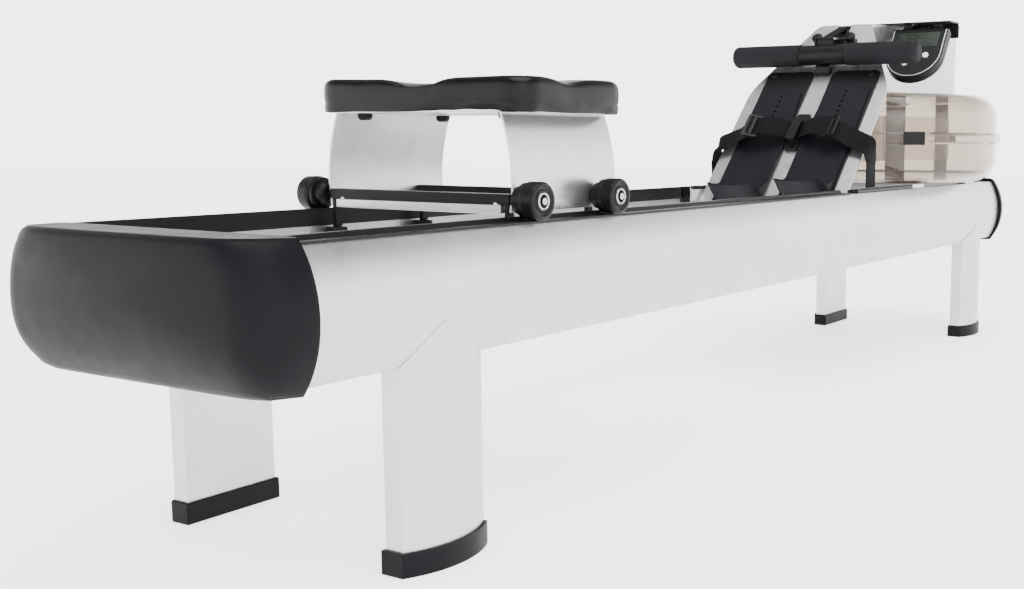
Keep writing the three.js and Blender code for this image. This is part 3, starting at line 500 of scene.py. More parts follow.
@dataclass
class EndCap:
    """A soft rubber cap over both rails' ends, with a rounded nose."""

    node: str
    towards: int
    nose: float = 0.1235
    corner: float = 0.046
    bow: float = 0.016
    bulge: float = 0.0242
    spread: float = 2.2
    edge: float = 0.003
    wall: float = 0.0067
    floor: float = 0.05
    rays: int = 16

    def outline(self, inset: float) -> list[Point]:
        """Return the cap's (y, z) section, bulged at both sides and inset all round."""
        low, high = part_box(self.node)
        half, middle = (high.z - low.z) / 2 - inset, (low.z + high.z) / 2
        reach = high.y - inset
        flat = reach - self.bulge + inset * 0.3
        bulge = reach - flat
        radius = (half * half + bulge * bulge) / (2 * bulge)
        sweep = math.degrees(math.asin(half / radius)) * 0.985
        side = arc((reach - radius, middle), radius, -sweep, sweep, 22)
        top = [(flat - i * flat / 12, middle + half) for i in range(1, 24)]
        left = [(-y, z) for y, z in reversed(side)]
        bottom = [(-flat + i * flat / 12, middle - half) for i in range(1, 24)]
        return side + top + left + bottom

    def half_at(self, z: float) -> float:
        """Return half the outer section's width at a height."""
        low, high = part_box(self.node)
        half, middle = (high.z - low.z) / 2, (low.z + high.z) / 2
        radius = (half * half + self.bulge * self.bulge) / (2 * self.bulge)
        rise = min(abs(z - middle), half)
        return high.y - radius + math.sqrt(radius**2 - rise**2)

    def depth(self, y: float, z: float) -> float:
        """Return how far the outer surface lies behind the cap's foremost plane, at a place on its face."""
        low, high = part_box(self.node)
        rise = z - (low.z + 0.086)
        face = self.nose - math.sqrt(max(self.nose**2 - rise**2, 0))
        half = self.half_at(z)
        over = min(self.corner, max(0.0, abs(y) - (half - self.corner)))
        side = self.corner - math.sqrt(max(self.corner**2 - over**2, 0)) + self.bow * (y / half) ** 2
        both = (face**self.spread + side**self.spread) ** (1 / self.spread)
        return min(both, high.x - low.x - self.edge - 0.003)

    def build(self) -> None:
        """Build the shell: rim, outer side, rounded face and the pocket behind it."""
        low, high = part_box(self.node)
        tip = low.x if self.towards < 0 else high.x
        rim = high.x - low.x
        middle = (low.z + high.z) / 2

        def place(depth: float, y: float, z: float) -> Vector:
            """Return the point at a depth behind the cap's foremost plane."""
            return Vector((tip - self.towards * depth, y, z))

        outer, inner = self.outline(0), self.outline(self.wall)
        loops = [[place(rim, y, z) for y, z in inner], [place(rim, y, z) for y, z in outer]]
        spine = [(max(-0.12, min(0.12, y)), middle + 0.008) for y, _ in outer]
        for k in range(7):
            share = (k + 1) / 8
            loops.append([place(rim + (self.depth(y, z) + self.edge - rim) * share, y, z) for y, z in outer])
        for k in range(self.rays + 4):
            t = 1 - k / (self.rays + 3)
            loop = []
            for (y, z), (sy, sz) in zip(outer, spine):
                away = math.hypot(y - sy, z - sz) * (1 - t)
                curl = self.edge - math.sqrt(max(self.edge**2 - max(self.edge - away, 0) ** 2, 0))
                py, pz = sy + (y - sy) * t, sz + (z - sz) * t
                loop.append(place(self.depth(py, pz) + curl, py, pz))
            loops.append(loop)
        back = [[place(d, y, z) for y, z in inner] for d in (self.floor, rim)]
        sketch = Sketch().loft(loops, caps=False).loft(back, caps=False)
        start = len(sketch.points) - 2 * len(inner)
        sketch.faces.append(tuple(start + k for k in range(len(inner))))
        sketch.piece(f"{self.node}_piece", RUBBER, BODY_OF[self.node], [self.node], crease=50, merge=True)


@dataclass
class Frame:
    """The rails on their legs, the tracks, and the members between the rails."""

    edge: float = 0.0012
    strip_width: float = 0.02
    strip_height: float = 0.006

    def build(self) -> None:
        """Build every piece of the frame."""
        for side in SIDES:
            refined(f"rail_{side}", self.edge)
            refined(f"track_{side}", 0.0005)
            for end in AXLES:
                refined(f"leg_{end}_{side}", self.edge)
                refined(f"boot_{end}_{side}", 0.0015)
            self.tank_strip(side)
            self.stop(side)
        for node in CROSS_MEMBERS:
            refined(node, 0.001)
        EndCap("end_cap_rear", -1).build()
        EndCap("end_cap_front", 1).build()

    def tank_strip(self, side: str) -> None:
        """Build the black strip on a rail in front of the foot of the board."""
        sign = SIDES[side]
        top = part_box(f"rail_{side}")[1].z
        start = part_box("footboard")[0].x + 0.006
        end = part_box("tank_support_rear")[0].x - 0.001
        inner = sign * 0.1462
        outer = inner + sign * self.strip_width
        low = Vector((start, min(inner, outer), top + 0.0003))
        high = Vector((end, max(inner, outer), top + self.strip_height))
        Sketch().block(low, high).piece(f"tank_strip_{side}", PLASTIC, "frame", bevel=0.0008)

    def stop(self, side: str) -> None:
        """Build the ribbed stop block at the front end of a track."""
        sign = SIDES[side]
        low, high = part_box(f"track_{side}")
        inner = min(sign * 0.1435, sign * 0.1457)
        sketch = Sketch()
        for k in range(3):
            x = high.x - 0.03 + k * 0.011
            sketch.block(Vector((x, inner, low.z - 0.009)), Vector((x + 0.007, inner + 0.0022, high.z)))
        sketch.piece(f"track_stop_{side}", PLASTIC, "frame", bevel=0.0004)


# ---------------------------------------------------------------- water tank and drive


@dataclass
class Tank:
    """The two halves of the tank, the clamps on its flange, and what turns inside it."""

    wall: float = 0.004
    corner: float = 0.046
    flange: float = 0.264
    radius: float = 0.256
    flange_half: float = 0.009
    clamps: int = 3
    first_clamp: float = -140.0
    clamp_sweep: float = 9.0
    posts: int = 3
    first_post: float = -145.0

    def half(self, node: str, port: float) -> list[Point]:
        """Return a half's (radius, height) profile from its closed end to its flange."""
        low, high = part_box(node)
        height = high.z - low.z
        flank = self.radius - self.corner
        outer = arc((flank, self.corner), self.corner, -90, 0, 10)
        inner = arc((flank, self.corner), self.corner - self.wall, 0, -90, 10)
        flange = [
            (self.radius, height - self.flange_half - 0.002),
            (self.radius + 0.002, height - self.flange_half),
            (self.flange - 0.0015, height - self.flange_half),
            (self.flange, height - self.flange_half + 0.0015),
            (self.flange, height),
            (self.radius - self.wall, height),
        ]
        return [(port, 0.0), *outer, *flange, *inner, (port, self.wall)]

    def build(self) -> None:
        """Build the tank and its drive."""
        low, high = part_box("tank_lower")
        axis = Vector(((low.x + high.x) / 2, 0, low.z))
        lower = Sketch().turned(self.half("tank_lower", 0.0003), axis, UP, 96)
        lower.piece("tank_lower_piece", CLEAR, "frame", ["tank_lower"], crease=40, merge=True)
        cap = Vector((axis.x, 0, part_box("tank_upper")[1].z))
        upper = Sketch().turned(self.half("tank_upper", 0.022), cap, -UP, 96, ring=True)
        upper.piece("tank_upper_piece", CLEAR, "frame", ["tank_upper"], crease=40)
        self.clamp_ring(axis, high.z)
        self.post_set(axis)
        refined("impeller", 0.0015, BLADE)
        refined("tank_plug", 0.0012)
        refined("bearing_housing", 0.001)
        refined("clutch_drum", 0.0008)
        refined("strap_roller", 0.0008)
        refined("roller_axle", 0.0005)
        refined("hood", 0.0007)

    def clamp_ring(self, axis: Vector, z: float) -> None:
        """Build the clamps that hold the two halves' flanges together."""
        section = [(0.2595, -0.0125), (0.2665, -0.0125), (0.2672, 0), (0.2665, 0.0125), (0.2595, 0.0125)]
        section += [(0.2595, 0.0105), (0.2648, 0.0105), (0.2648, -0.0105), (0.2595, -0.0105)]
        steps = [math.radians(self.clamp_sweep * (i / 8 - 0.5)) for i in range(9)]
        for k in range(self.clamps):
            angle = math.radians(self.first_clamp + k * 360 / self.clamps)
            turn = Matrix.Translation((axis.x, 0, z)) @ Matrix.Rotation(angle, 4, "Z")
            loops = []
            for a in steps:
                loops.append([turn @ Vector((r * math.cos(a), r * math.sin(a), h)) for r, h in section])
            Sketch().loft(loops).piece(f"tank_clamp_{k}", PLASTIC, "frame", bevel=0.0004)

    def post_set(self, axis: Vector) -> None:
        """Build the upright posts that brace the tank's floor and roof outside the impeller's reach."""
        outline = [(0.208, -0.017), (0.2105, -0.0195), (0.2125, -0.017), (0.2145, 0.0), (0.2125, 0.017)]
        outline += [(0.2105, 0.0195), (0.208, 0.017), (0.2105, 0.0)]
        for k in range(self.posts):
            angle = math.radians(self.first_post + k * 360 / self.posts)
            place = Matrix.Translation(axis) @ Matrix.Rotation(angle, 4, "Z")
            post = Sketch().prism(outline, place, 0.0052, 0.1678)
            post.piece(f"tank_post_{k}", PADDLE, "frame", bevel=0.0008)


# ---------------------------------------------------------------- footboard


@dataclass
class Board:
    """The inclined footboard's own frame: y across, s up its slope, out towards the rower."""

    origin: Vector
    tilt: float

    @classmethod
    def found(cls) -> "Board":
        """Return the frame, read from the foot plates' slide and the board's lowest corner."""
        axis = Vector(JOINTS["foot_plate_left_slide"]["axis"])
        tilt = math.atan2(axis.x, axis.z)
        low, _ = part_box("footboard")
        back = Vector((math.cos(tilt), 0, -math.sin(tilt))) * 0.003
        return cls(Vector((low.x, 0, low.z)) - Vector((0, 0, back.z)), tilt)

    def at(self, y: float, s: float, out: float) -> Vector:
        """Return a point by its place across, up the slope from the board's foot, and out."""
        up, off = face_axes(self.tilt)
        return self.origin + Vector((0, y, 0)) + up * s + off * out

    def matrix(self, y: float, s: float, out: float) -> Matrix:
        """Return a placing matrix whose local X is +Y, Y is up the slope, and Z is out."""
        return face_matrix(self.at(y, s, out), self.tilt)


@dataclass
class Footboard:
    """The board, its plates, the toe straps and the handle's rest."""

    board: Board
    foot: float = 0.036
    peg: float = 0.034
    strap_width: float = 0.042
    strap_thickness: float = 0.002

    def build(self) -> None:
        """Build every piece of the footboard."""
        refined("footboard", 0.0006)
        refined("handle_rest", 0.0012)
        refined("strap_bracket", 0.0012)
        for side in SIDES:
            refined(f"backing_plate_{side}", 0.0006)
            refined(f"foot_plate_{side}", 0.001)
            self.toe_strap(side)
            self.buckle(side)
            self.knob_cap(side)
        self.bolts()

    def toe_strap(self, side: str) -> None:
        """Build a strap from the middle bracket over the toes, round the board's edge and down behind it."""
        sign = SIDES[side]
        s, high = self.foot + 0.125, 0.0072
        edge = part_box("footboard")[1].y
        path = [
            (0.0105, s, high + 0.006),
            (0.022, s, high + 0.015),
            (0.28 * edge, s - 0.002, high + 0.023),
            (0.42 * edge, s - 0.004, high + 0.026),
            (0.56 * edge, s - 0.007, high + 0.023),
            (0.69 * edge, s - 0.011, high + 0.016),
            (0.8 * edge, s - 0.016, high + 0.009),
            (edge - 0.01, s - 0.023, high + 0.0055),
            (edge + 0.008, s - 0.031, high + 0.001),
            (edge + 0.013, s - 0.044, -0.009),
            (edge + 0.013, s - 0.06, -0.025),
            (edge + 0.013, s - 0.08, -0.045),
        ]
        knots = [self.board.at(sign * y, at, out) for y, at, out in path]
        up, _ = face_axes(self.board.tilt)
        stations = []
        for i in range(len(knots) - 1):
            before, a, b = knots[max(i - 1, 0)], knots[i], knots[i + 1]
            after = knots[min(i + 2, len(knots) - 1)]
            for k in range(5):
                t = k / 5
                curve = 2 * a + (b - before) * t + (2 * before - 5 * a + 4 * b - after) * t**2
                curve += (3 * a - before - 3 * b + after) * t**3
                stations.append((curve / 2, up))
        stations.append((knots[-1], up))
        strap = Sketch().band(stations, self.strap_width, self.strap_thickness)
        strap.piece(f"foot_strap_{side}_piece", WEBBING, "frame", [f"foot_strap_{side}"], crease=60)

    def buckle(self, side: str) -> None:
        """Build the ladder buckle that grips a toe strap near the middle bracket."""
        sign = SIDES[side]
        place = self.board.matrix(sign * 0.078, self.foot + 0.119, 0.0325)
        place = place @ Matrix.Rotation(sign * 0.3, 4, "Y")
        outer, inner = rounded(0.03, 0.052, 0.005), rounded(0.018, 0.043, 0.003)
        rings = [(outer, 0), (outer, 0.0035), (inner, 0.0035), (inner, 0)]
        loops = [[place @ Vector((u, v, w)) for u, v in ring] for ring, w in rings]
        buckle = Sketch().loft(loops, ring=True).prism(rounded(0.005, 0.043, 0.002), place, 0.0008, 0.0042)
        buckle.piece(f"strap_buckle_{side}", PLASTIC, "frame", bevel=0.0004)

    def knob_cap(self, side: str) -> None:
        """Build the domed cap on one of the handle rest's pegs."""
        place = self.board.at(SIDES[side] * self.peg, self.foot + 0.37, 0.0203)
        _, out = face_axes(self.board.tilt)
        dome = arc((0.0088, 0.002), 0.002, 0, 90, 4)
        profile = [(0.0002, -0.0002), (0.0108, -0.0002), *dome, (0.0002, 0.0052)]
        Sketch().turned(profile, place, out, 28).piece(f"rest_knob_{side}", PLASTIC, "frame", merge=True)

    def bolts(self) -> None:
        """Build the button-head bolts that hold the plates and the rest to the board."""
        _, out = face_axes(self.board.tilt)
        places = [(y, self.foot + 0.283, 0.0036) for y in (-0.1, 0.1)]
        places += [(y, self.foot + 0.356, 0.0043) for y in (-self.peg, self.peg)]
        profile = [(0.0001, 0), (0.005, 0), (0.0049, 0.0012), (0.0036, 0.0026)]
        profile += [(0.0022, 0.0029), (0.0021, 0.0012), (0.0001, 0.0012)]
        for k, place in enumerate(places):
            bolt = Sketch().turned(profile, self.board.at(*place), out, 20)
            bolt.piece(f"board_bolt_{k}", PLASTIC, "frame", merge=True)


@dataclass
class Handle:
    """The pull handle with its grips, shackle and drive strap."""

    board: Board
    web_width: float = 0.022
    web_thickness: float = 0.0016
    ribs: int = 26

    def build(self) -> None:
        """Build the handle and the strap that pulls it."""
        refined("handle_bar", 0.0012)
        for side in SIDES:
            self.grip(side)
        self.shackle()
        self.strap()

    def grip(self, side: str) -> None:
        """Build a ribbed foam grip with a rounded end."""
        sign = SIDES[side]
        low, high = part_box(f"grip_{side}")
        middle = middle_of(f"grip_{side}")
        radius = (high.x - low.x) / 2
        length = high.y - low.y
        start = Vector((middle.x, low.y if sign > 0 else high.y, middle.z))
        profile = [(0.0122, 0.008), (0.0122, 0.0), (radius - 0.0025, 0.0), (radius - 0.0006, 0.0012)]
        body = length - 0.012
        for k in range(self.ribs * 2 + 1):
            height = 0.004 + (body - 0.006) * k / (self.ribs * 2)
            profile.append((radius - (0.0007 if k % 2 else 0.0), height))
        profile += arc((radius - 0.01, length - 0.01), 0.01, 0, 90, 6) + [(0.0002, length)]
        grip = Sketch().turned(profile, start, ACROSS * sign, 48)
        grip.piece(f"grip_{side}_piece", FOAM, "handle", [f"grip_{side}"], crease=45, merge=True)

    def shackle(self) -> None:
        """Build the shackle that holds the strap to the handle."""
        low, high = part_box("handle_bar")
        x, top = (low.x + high.x) / 2, high.z
        for sign in (-1, 1):
            place = Matrix.Translation((x, sign * 0.0155, top - 0.004)) @ Matrix.Rotation(math.pi / 2, 4, "X")
            ear = Sketch().prism(rounded(0.014, 0.02, 0.006), place, -0.0012, 0.0012)
            ear.piece(f"shackle_ear_{sign}", PLASTIC, "handle", bevel=0.0004)
        profile = [(0.0028, -0.0185), (0.0028, 0.0185)]
        pin = Sketch().turned(profile, Vector((x, 0, top + 0.002)), ACROSS, 16)
        pin.piece("shackle_pin", PLASTIC, "handle", bevel=0.0003)

    def strap(self) -> None:
        """Build the drive strap over the roller to the drum."""
        bar_low, bar_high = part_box("handle_bar")
        roller_low, roller_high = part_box("strap_roller")
        drum_low, drum_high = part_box("clutch_drum")
        start = Vector(((bar_low.x + bar_high.x) / 2, 0, bar_high.z + 0.001))
        roller = middle_of("strap_roller")
        reach = (roller_high.x - roller_low.x) / 2 + self.web_thickness / 2 + 0.0003
        middle = middle_of("clutch_drum")
        end = Vector((middle.x, -0.0251, middle.z))
        near = end - Vector(((drum_high.x - drum_low.x) / 2 + 0.008, 0, 0))

        def clock(to: Vector, sense: int) -> float:
            """Return the angle from +Z at which a line to a point touches the roller."""
            way = to - roller
            return math.atan2(way.x, way.z) + sense * math.acos(reach / math.hypot(way.x, way.z))

        def on(angle: float) -> Vector:
            """Return the point of the strap's middle on the roller at an angle from +Z."""
            return roller + Vector((math.sin(angle), 0, math.cos(angle))) * reach

        first, last = clock(start, 1), clock(near, -1)
        stations = [(start.lerp(on(first), i / 20), ACROSS) for i in range(20)]
        stations += [(on(first + (last - first) * i / 16), ACROSS) for i in range(17)]
        for i in range(1, 21):
            turn = math.pi / 2 * max(0.0, (i - 2) / 18)
            stations.append((on(last).lerp(near, i / 20), Vector((0, math.cos(turn), math.sin(turn)))))
        stations += [(near.lerp(end, i / 4), UP) for i in range(1, 5)]
        sketch = Sketch().band(stations, self.web_width, self.web_thickness)
        obj = linked("drive_strap_piece", sketch.mesh("drive_strap_piece"))
        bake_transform(obj)
        dress(obj, WEBBING, None, ["drive_strap"], crease=60)


# ---------------------------------------------------------------- monitor


@dataclass
class Monitor:
    """The display's housing, window, buttons and bracket."""

    tilt: float = math.radians(36)

    def matrix(self, across: float, down: float, out: float) -> Matrix:
        """Return a placing matrix on the face: local X is +Y, Y up the face, Z out of it."""
        low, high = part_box("monitor_housing")
        up, off = face_axes(self.tilt)
        top = Vector((high.x - 0.02 * math.cos(self.tilt), (low.y + high.y) / 2, high.z))
        return face_matrix(top + Vector((0, across, 0)) - up * down + off * out, self.tilt)

    def build(self) -> None:
        """Build every piece of the monitor."""
        refined("monitor_housing", 0.0016)
        refined("monitor_screen", 0.0004)
        refined("monitor_bracket", 0.0007)
        refined("button_left", 0.0008)
        refined("button_right", 0.0008)
        self.bezel()
        self.segments()
        self.hinge()

    def bezel(self) -> None:
        """Build the bright trim line round the face."""
        low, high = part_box("monitor_housing")
        radius = (high.y - low.y) / 2 - 0.0035
        centre = -0.119 + radius + 0.0035
        path = [(radius, -0.004)] + arc((0, centre), radius, 0, -180, 40) + [(-radius, -0.004)]
        place = self.matrix(0, 0, 0)
        loops = []
        for i, (u, v) in enumerate(path):
            ahead, behind = path[min(i + 1, len(path) - 1)], path[max(i - 1, 0)]
            way = Vector((ahead[0] - behind[0], ahead[1] - behind[1])).normalized()
            side = Vector((way.y, -way.x))
            loop = []
            for a, b in ((-0.0011, 0.0001), (0.0011, 0.0001), (0.0011, 0.0009), (-0.0011, 0.0009)):
                loop.append(place @ Vector((u + side.x * a, v + side.y * a, b)))
            loops.append(loop)
        Sketch().loft(loops).piece("monitor_trim", STEEL, "monitor", bevel=0.0003)

    def segments(self) -> None:
        """Build a few plain bars on the display window, as an idle read-out shows."""
        sketch = Sketch()
        place = self.matrix(0, 0.009, -0.0003)
        for k in range(4):
            for row in range(2):
                u = -0.028 + k * 0.0165
                v = -0.012 - row * 0.011
                sketch.prism([(x + u, y + v) for x, y in rounded(0.009, 0.0016, 0.0006, 2)], place, 0, 0.0002)
        sketch.piece("display_bars", DIGIT, "monitor")

    def hinge(self) -> None:
        """Build the hinge barrels between the housing and its bracket."""
        pivot = Vector(JOINTS["monitor_tilt"]["pos_m"])
        for name, y, body in (("a", -0.03, "frame"), ("b", 0.0, "monitor"), ("c", 0.03, "frame")):
            centre = pivot + Vector((0.002, y - 0.009, 0.004))
            sketch = Sketch().turned([(0.0045, 0), (0.0045, 0.018)], centre, ACROSS, 24)
            if body == "frame":
                far = Vector((centre.x + 0.003, centre.y + 0.016, pivot.z + 0.0145))
                sketch.block(centre + Vector((-0.003, 0.002, 0)), far)
            sketch.piece(f"monitor_hinge_{name}", PLASTIC, body, bevel=0.0004)


# ---------------------------------------------------------------- seat carriage


@dataclass
class SeatPad:
    """The moulded pad: raised rims, two hollows, a notch behind and a seam above its lower band."""

    corner: float = 0.026
    seam: float = 0.0075
    seam_depth: float = 0.0005
    edge: float = 0.011
    around: int = 120
    give: float = 0.005

    def height(self, x: float, y: float) -> float:
        """Return how far the top lies below its rim, at a place in half lengths and half widths."""
        hollow = 0.0
        for side in (-0.46, 0.46):
            hollow += 0.01 * math.exp(-(((x + 0.1) / 0.62) ** 2) - ((y - side) / 0.3) ** 2)
        behind = 1 / (1 + math.exp((x + 0.45) * 9))
        notch = 0.02 * math.exp(-((abs(y) / 0.17) ** 1.6)) * behind
        beside = 1 / (1 + math.exp((0.82 - abs(y)) * 18))
        dip = 0.006 * math.exp(-(((x + 0.1) / 0.28) ** 2)) * beside
        return hollow + notch + dip

    def build(self) -> None:
        low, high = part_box("seat_pad")
        middle = middle_of("seat_pad")
        length, width = high.x - low.x, high.y - low.y
        rise = high.z - low.z
        levels = [(0.5, 0.0), (0.984, 0.0), (0.985, -0.0036), (0.99, -0.0042), (0.997, -0.003), (1.0, 0.0)]
        levels += [(1.0, 0.004), (1.0, self.seam - 0.0012)]
        levels += [(1.0 - self.seam_depth / 0.1, self.seam), (1.0, self.seam + 0.0014), (1.004, 0.017)]
        rings = [(share, z, 0.0) for share, z in levels]
        for k in range(7):
            angle = math.pi / 2 * k / 6
            height = rise - self.edge + self.edge * math.sin(angle)
            rings.append((1.0 - (1 - math.cos(angle)) * 0.085, height, angle))
        for k in range(1, 15):
            rings.append((0.915 * (1 - k / 14.5), rise, 2.0))
        shape = self.spaced(rounded(length, width, self.corner, 14))
        loops = []
        for share, z, top in rings:
            loop = []
            for u, v in shape:
                if share > 0.9:
                    inset = (1 - share) * 0.1
                    px, py = u * (1 - inset / (length / 2)), v * (1 - inset / (width / 2))
                else:
                    px, py = u * share, v * share
                drop = self.height(px / (length / 2), py / (width / 2)) * min(1.0, top)
                loop.append(Vector((middle.x + px, middle.y + py, low.z + z - drop)))
            loops.append(loop)
        pad = Sketch().loft(loops).piece("seat_pad_piece", PAD, "seat", ["seat_pad"], crease=70)
        self.swell(pad)
        smooth = pad.modifiers.new("soft_skin", "SUBSURF")
        smooth.levels = smooth.render_levels = 1

    def spaced(self, shape: list[Point]) -> list[Point]:
        """Return the outline at even steps, so that its straight sides carry the rim's dips."""
        closed = shape + [shape[0]]
        lengths = [math.dist(a, b) for a, b in zip(closed, closed[1:])]
        total, out = sum(lengths), []
        for k in range(self.around):
            want, i = total * k / self.around, 0
            while want > lengths[i]:
                want -= lengths[i]
                i += 1
            share = want / lengths[i] if lengths[i] else 0
            (ax, ay), (bx, by) = closed[i], closed[i + 1]
            out.append((ax + (bx - ax) * share, ay + (by - ay) * share))
        return out

    def swell(self, pad: bpy.types.Object) -> None:
        """Blow the pad up slightly as pressed cloth, and hold each point near where it was."""
        before = [v.co.copy() for v in pad.data.vertices]
        cloth = pad.modifiers.new("swell", "CLOTH")
        cloth.settings.use_pressure = True
        cloth.settings.uniform_pressure_force = 3
        cloth.settings.effector_weights.gravity = 0
        cloth.settings.tension_stiffness = 40
        cloth.settings.compression_stiffness = 40
        cloth.settings.quality = 5
        cloth.point_cache.frame_start, cloth.point_cache.frame_end = 1, 12
        scene = bpy.context.scene
        for number in range(1, 13):
            scene.frame_set(number)
        shown = pad.evaluated_get(bpy.context.evaluated_depsgraph_get())
        after = [v.co.copy() for v in shown.data.vertices]
        pad.modifiers.remove(cloth)
        scene.frame_set(1)
        if len(after) != len(before):
            return
        for vertex, old, new in zip(pad.data.vertices, before, after):
            move = new - old
            move *= 0.25
            if move.length > self.give:
                move *= self.give / move.length
            vertex.co = old + move
        pad.data.update()


@dataclass
class Wheel:
    """A running wheel: a grooved tyre, a dished face and a steel hub bolt."""

    node: str
    side: int
    ring: float = 0.0095
    bolt: float = 0.0044

    def build(self) -> None:
        """Build the tyre, hub ring and bolt."""
        low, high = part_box(self.node)
        middle, radius, width = middle_of(self.node), (high.z - low.z) / 2, high.y - low.y
        out = ACROSS * self.side
        start = Vector((middle.x, low.y if self.side > 0 else high.y, middle.z))
        profile = [(0.0062, 0), (radius - 0.003, 0), *arc((radius - 0.003, 0.003), 0.003, -90, 0, 4)]
        groove = 0.0045
        profile += [(radius, groove - 0.0005), (radius - 0.0006, groove), (radius, groove + 0.0005)]
        profile += arc((radius - 0.003, width - 0.003), 0.003, 0, 90, 4)
        profile += [(radius - 0.0045, width), (radius - 0.0055, width - 0.0012), (0.0125, width - 0.0022)]
        profile += [(0.0115, width - 0.001), (0.0062, width - 0.001)]
        body = BODY_OF[self.node]
        tyre = Sketch().turned(profile, start, out, 64, ring=True)
        tyre.piece(f"{self.node}_piece", PLASTIC, body, [self.node], crease=28)
        hub = [(0.0074, width - 0.0012), (self.ring, width - 0.0012), (self.ring, width - 0.0003)]
        hub += [(self.ring - 0.0006, width + 0.0004), (0.008, width + 0.0004), (0.0074, width - 0.0002)]
        Sketch().turned(hub, start, out, 40, ring=True).piece(f"{self.node}_hub", STEEL, body, crease=28)
        place = Matrix.Translation(start) @ UP.rotation_difference(out).to_matrix().to_4x4()
        turns = [math.radians(60 * k + 15) for k in range(6)]
        hexagon = [(self.bolt * math.cos(turn), self.bolt * math.sin(turn)) for turn in turns]
        bolt = Sketch().prism(hexagon, place, width - 0.004, width + 0.0014)
        bolt.piece(f"{self.node}_bolt", STEEL, "seat", bevel=0.0005)


@dataclass
class GuideRoller:
    """A knurled roller that bears on a rail's inner face."""

    node: str
    teeth: int = 40
    tooth: float = 0.0005

    def build(self) -> None:
        """Build the roller."""
        low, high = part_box(self.node)
        middle = middle_of(self.node)
        radius, height = (high.x - low.x) / 2, high.z - low.z
        profile = [(0.0052, 0), (radius - 0.001, 0), (radius, 0.001), (radius, height - 0.001)]
        profile += [(radius - 0.001, height), (0.0052, height)]

        def knurl(angle: float, level: float) -> float:
            """Return the change of radius between the teeth, which stop short of both ends."""
            if level <= 0.0005 or level >= height - 0.0005:
                return 0.0
            return -self.tooth * (1 + math.cos(self.teeth * angle)) / 2

        foot = Vector((middle.x, middle.y, low.z))
        roller = Sketch().turned(profile, foot, UP, self.teeth * 4, ring=True, wave=knurl)
        roller.piece(f"{self.node}_piece", PLASTIC, BODY_OF[self.node], [self.node], crease=40)


@dataclass
class Carriage:
    """The seat's rolling carriage."""

    plate_y: float = 0.107
    tie_y: float = 0.116

    def build(self) -> None:
        """Build the plates, beams, wheels, rollers, fittings and pad."""
        for side, sign in SIDES.items():
            refined(f"side_plate_{side}", 0.0005, crease=40)
            for axle in AXLES:
                Wheel(f"wheel_{axle}_{side}", sign).build()
                GuideRoller(f"guide_roller_{axle}_{side}").build()
                self.boss(axle, side)
        for axle in AXLES:
            refined(f"axle_beam_{axle}", 0.0008)
        refined("cross_tie", 0.001)
        refined("seat_plate", 0.0006)
        self.front_tie()
        self.tie_bolts()
        self.buffers()
        SeatPad().build()

    def boss(self, axle: str, side: str) -> None:
        """Build the washer and boss between a wheel and its side plate."""
        sign = SIDES[side]
        low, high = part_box(f"wheel_{axle}_{side}")
        inner = low.y if sign > 0 else high.y
        start = Vector(((low.x + high.x) / 2, inner - sign * 0.0004, (low.z + high.z) / 2))
        profile = [(0.0054, 0), (0.0188, 0), (0.0194, 0.0006), (0.0194, 0.0044), (0.0156, 0.005)]
        profile += [(0.0156, 0.0125), (0.012, 0.0162), (0.0054, 0.0162)]
        boss = Sketch().turned(profile, start, ACROSS * -sign, 32, ring=True)
        boss.piece(f"axle_boss_{axle}_{side}", PLASTIC, "seat", crease=28)

    def front_tie(self) -> None:
        """Build the second silver cross tie, ahead of the front axle."""
        low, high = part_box("cross_tie")
        plate_low, plate_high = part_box("seat_plate")
        shift = (plate_low.x + plate_high.x) - (low.x + high.x)
        move = Vector((shift, 0, 0))
        Sketch().block(low + move, high + move).piece("front_cross_tie", SILVER, "seat", bevel=0.001)

    def tie_bolts(self) -> None:
        """Build the bright bolt heads on top of the two ties' ends."""
        low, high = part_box("cross_tie")
        plate_low, plate_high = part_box("seat_plate")
        profile = [(0.0001, 0), (0.0065, 0), (0.0063, 0.002), (0.005, 0.0036), (0.0028, 0.004)]
        profile += [(0.0026, 0.0018), (0.0001, 0.0018)]
        for k, x in enumerate(((low.x + high.x) / 2, plate_low.x + plate_high.x - (low.x + high.x) / 2)):
            for side, sign in SIDES.items():
                bolt = Sketch().turned(profile, Vector((x, sign * self.tie_y, high.z)), UP, 24)
                bolt.piece(f"tie_bolt_{k}_{side}", STEEL, "seat", merge=True)

    def buffers(self) -> None:
        """Build the black buffers between the seat plate and the side plates' tops."""
        low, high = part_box("seat_plate")
        profile = [(0.0001, 0), (0.009, 0), (0.0085, 0.005), (0.006, 0.0075), (0.0001, 0.0078)]
        for side, sign in SIDES.items():
            for k, x in enumerate((low.x + 0.03, high.x - 0.03)):
                centre = Vector((x, sign * self.plate_y, low.z - 0.0002))
                buffer = Sketch().turned(profile, centre, -UP, 24)
                buffer.piece(f"buffer_{k}_{side}", PLASTIC, "seat", merge=True)


# ---------------------------------------------------------------- studio


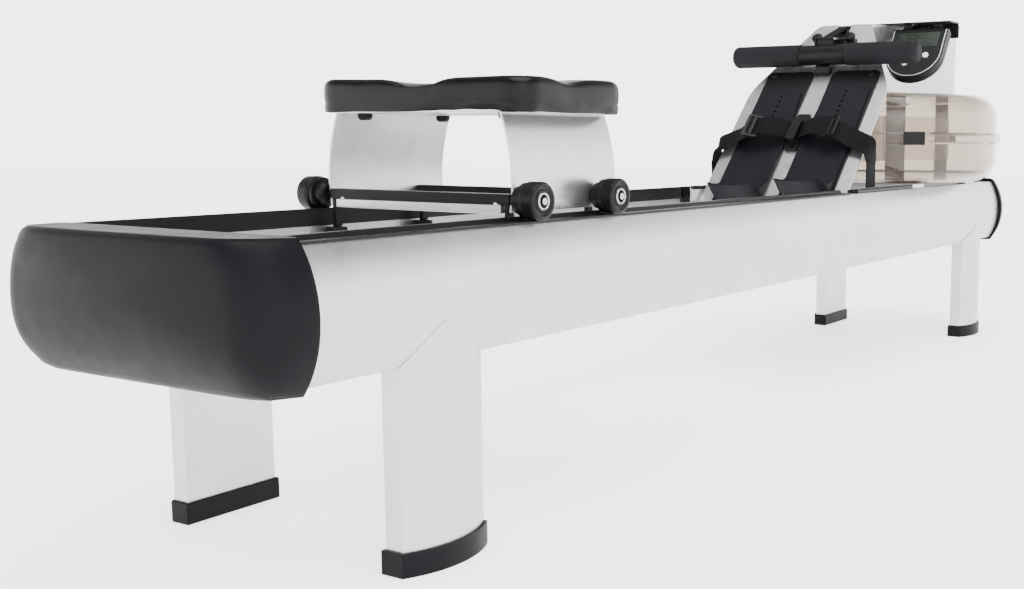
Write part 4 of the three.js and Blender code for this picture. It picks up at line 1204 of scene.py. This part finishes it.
@dataclass
class Studio:
    """A pale floor, soft light and the camera."""

    lens: float = 42.39
    shift: float = -0.1758
    eye: tuple[float, float, float] = (-1.70076, -0.96431, 0.41582)
    yaw: float = 0.5291
    pitch: float = 0.1268
    roll: float = 0.0045
    glow: float = 1.7
    floor_reach: float = 14.0

    def floor(self) -> None:
        """Lay the floor, a wide pale sheet that glows a little."""
        pale = Finish("studio_floor", (0.95, 0.95, 0.955), 0.6, scale=40, relief=0.0, mottle=0.004)
        far = self.floor_reach
        corners = [Vector((x, y, 0)) for x, y in ((-far, -far), (far, -far), (far, far), (-far, far))]
        mesh = Sketch(corners, [(0, 1, 2, 3)]).mesh("floor")
        surface = pale.material()
        shader = surface.node_tree.nodes["Principled BSDF"]
        shader.inputs["Emission Color"].default_value = (1, 1, 1, 1)
        shader.inputs["Emission Strength"].default_value = self.glow
        mesh.materials.append(surface)
        obj = linked("floor", mesh)
        obj.location.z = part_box("boot_rear_left")[0].z - 0.0003

    def sky(self) -> None:
        """Set a plain surround: bright near the horizon and dimmer overhead."""
        world = bpy.data.worlds.new("surround")
        world.use_nodes = True
        tree = world.node_tree
        graph, back = Graph(tree), tree.nodes["Background"]
        split = graph.add("SeparateXYZ", graph.add("TexCoord").outputs["Generated"])
        fade = graph.add("MapRange", From_Min=0.17, From_Max=0.5, To_Min=4.4, To_Max=0.45)
        tree.links.new(split.outputs["Z"], fade.inputs["Value"])
        tree.links.new(fade.outputs["Result"], back.inputs["Strength"])
        back.inputs["Color"].default_value = (1, 1, 1, 1)
        bpy.context.scene.world = world

    def sun(self, name: str, aim: Vector, width: float, power: float) -> None:
        """Hang one wide sun that shines along a direction."""
        lamp = bpy.data.lights.new(name, "SUN")
        lamp.angle = math.radians(width)
        lamp.energy = power
        obj = linked(name, lamp)
        obj.rotation_euler = aim.to_track_quat("-Z", "Y").to_euler()

    def light(self, name: str, place: Vector, aim: Vector, size: float, power: float) -> None:
        """Hang one soft lamp."""
        lamp = bpy.data.lights.new(name, "AREA")
        lamp.shape = "DISK"
        lamp.size = size
        lamp.energy = power
        obj = linked(name, lamp)
        obj.location = place
        obj.rotation_euler = (aim - place).to_track_quat("-Z", "Y").to_euler()

    def camera(self) -> None:
        """Set the camera."""
        data = bpy.data.cameras.new("camera")
        data.sensor_width = 36
        data.lens = self.lens
        data.shift_x = self.shift
        obj = linked("camera", data)
        level = math.cos(self.pitch)
        forward = Vector((math.cos(self.yaw) * level, math.sin(self.yaw) * level, -math.sin(self.pitch)))
        right = Vector((math.sin(self.yaw), -math.cos(self.yaw), 0))
        up = right.cross(forward)
        tilted_right = right * math.cos(self.roll) + up * math.sin(self.roll)
        tilted_up = up * math.cos(self.roll) - right * math.sin(self.roll)
        turn = Matrix((tilted_right, tilted_up, -forward)).transposed().to_4x4()
        obj.matrix_world = Matrix.Translation(self.eye) @ turn
        bpy.context.scene.camera = obj

    def build(self) -> None:
        """Set up the whole studio."""
        self.floor()
        self.sky()
        middle = Vector((0, 0, 0.3))
        self.sun("overhead", Vector((0.15, 0.2, -1)), 60, 5.0)
        self.light("front_fill", Vector((-2.6, -3.2, 1.8)), middle, 2.4, 40)
        self.camera()


def main() -> None:
    """Build every piece in order."""
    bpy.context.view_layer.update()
    board = Board.found()
    Frame().build()
    Tank().build()
    Footboard(board).build()
    Handle(board).build()
    Monitor().build()
    Carriage().build()
    Studio().build()


if __name__ == "__main__":
    main()
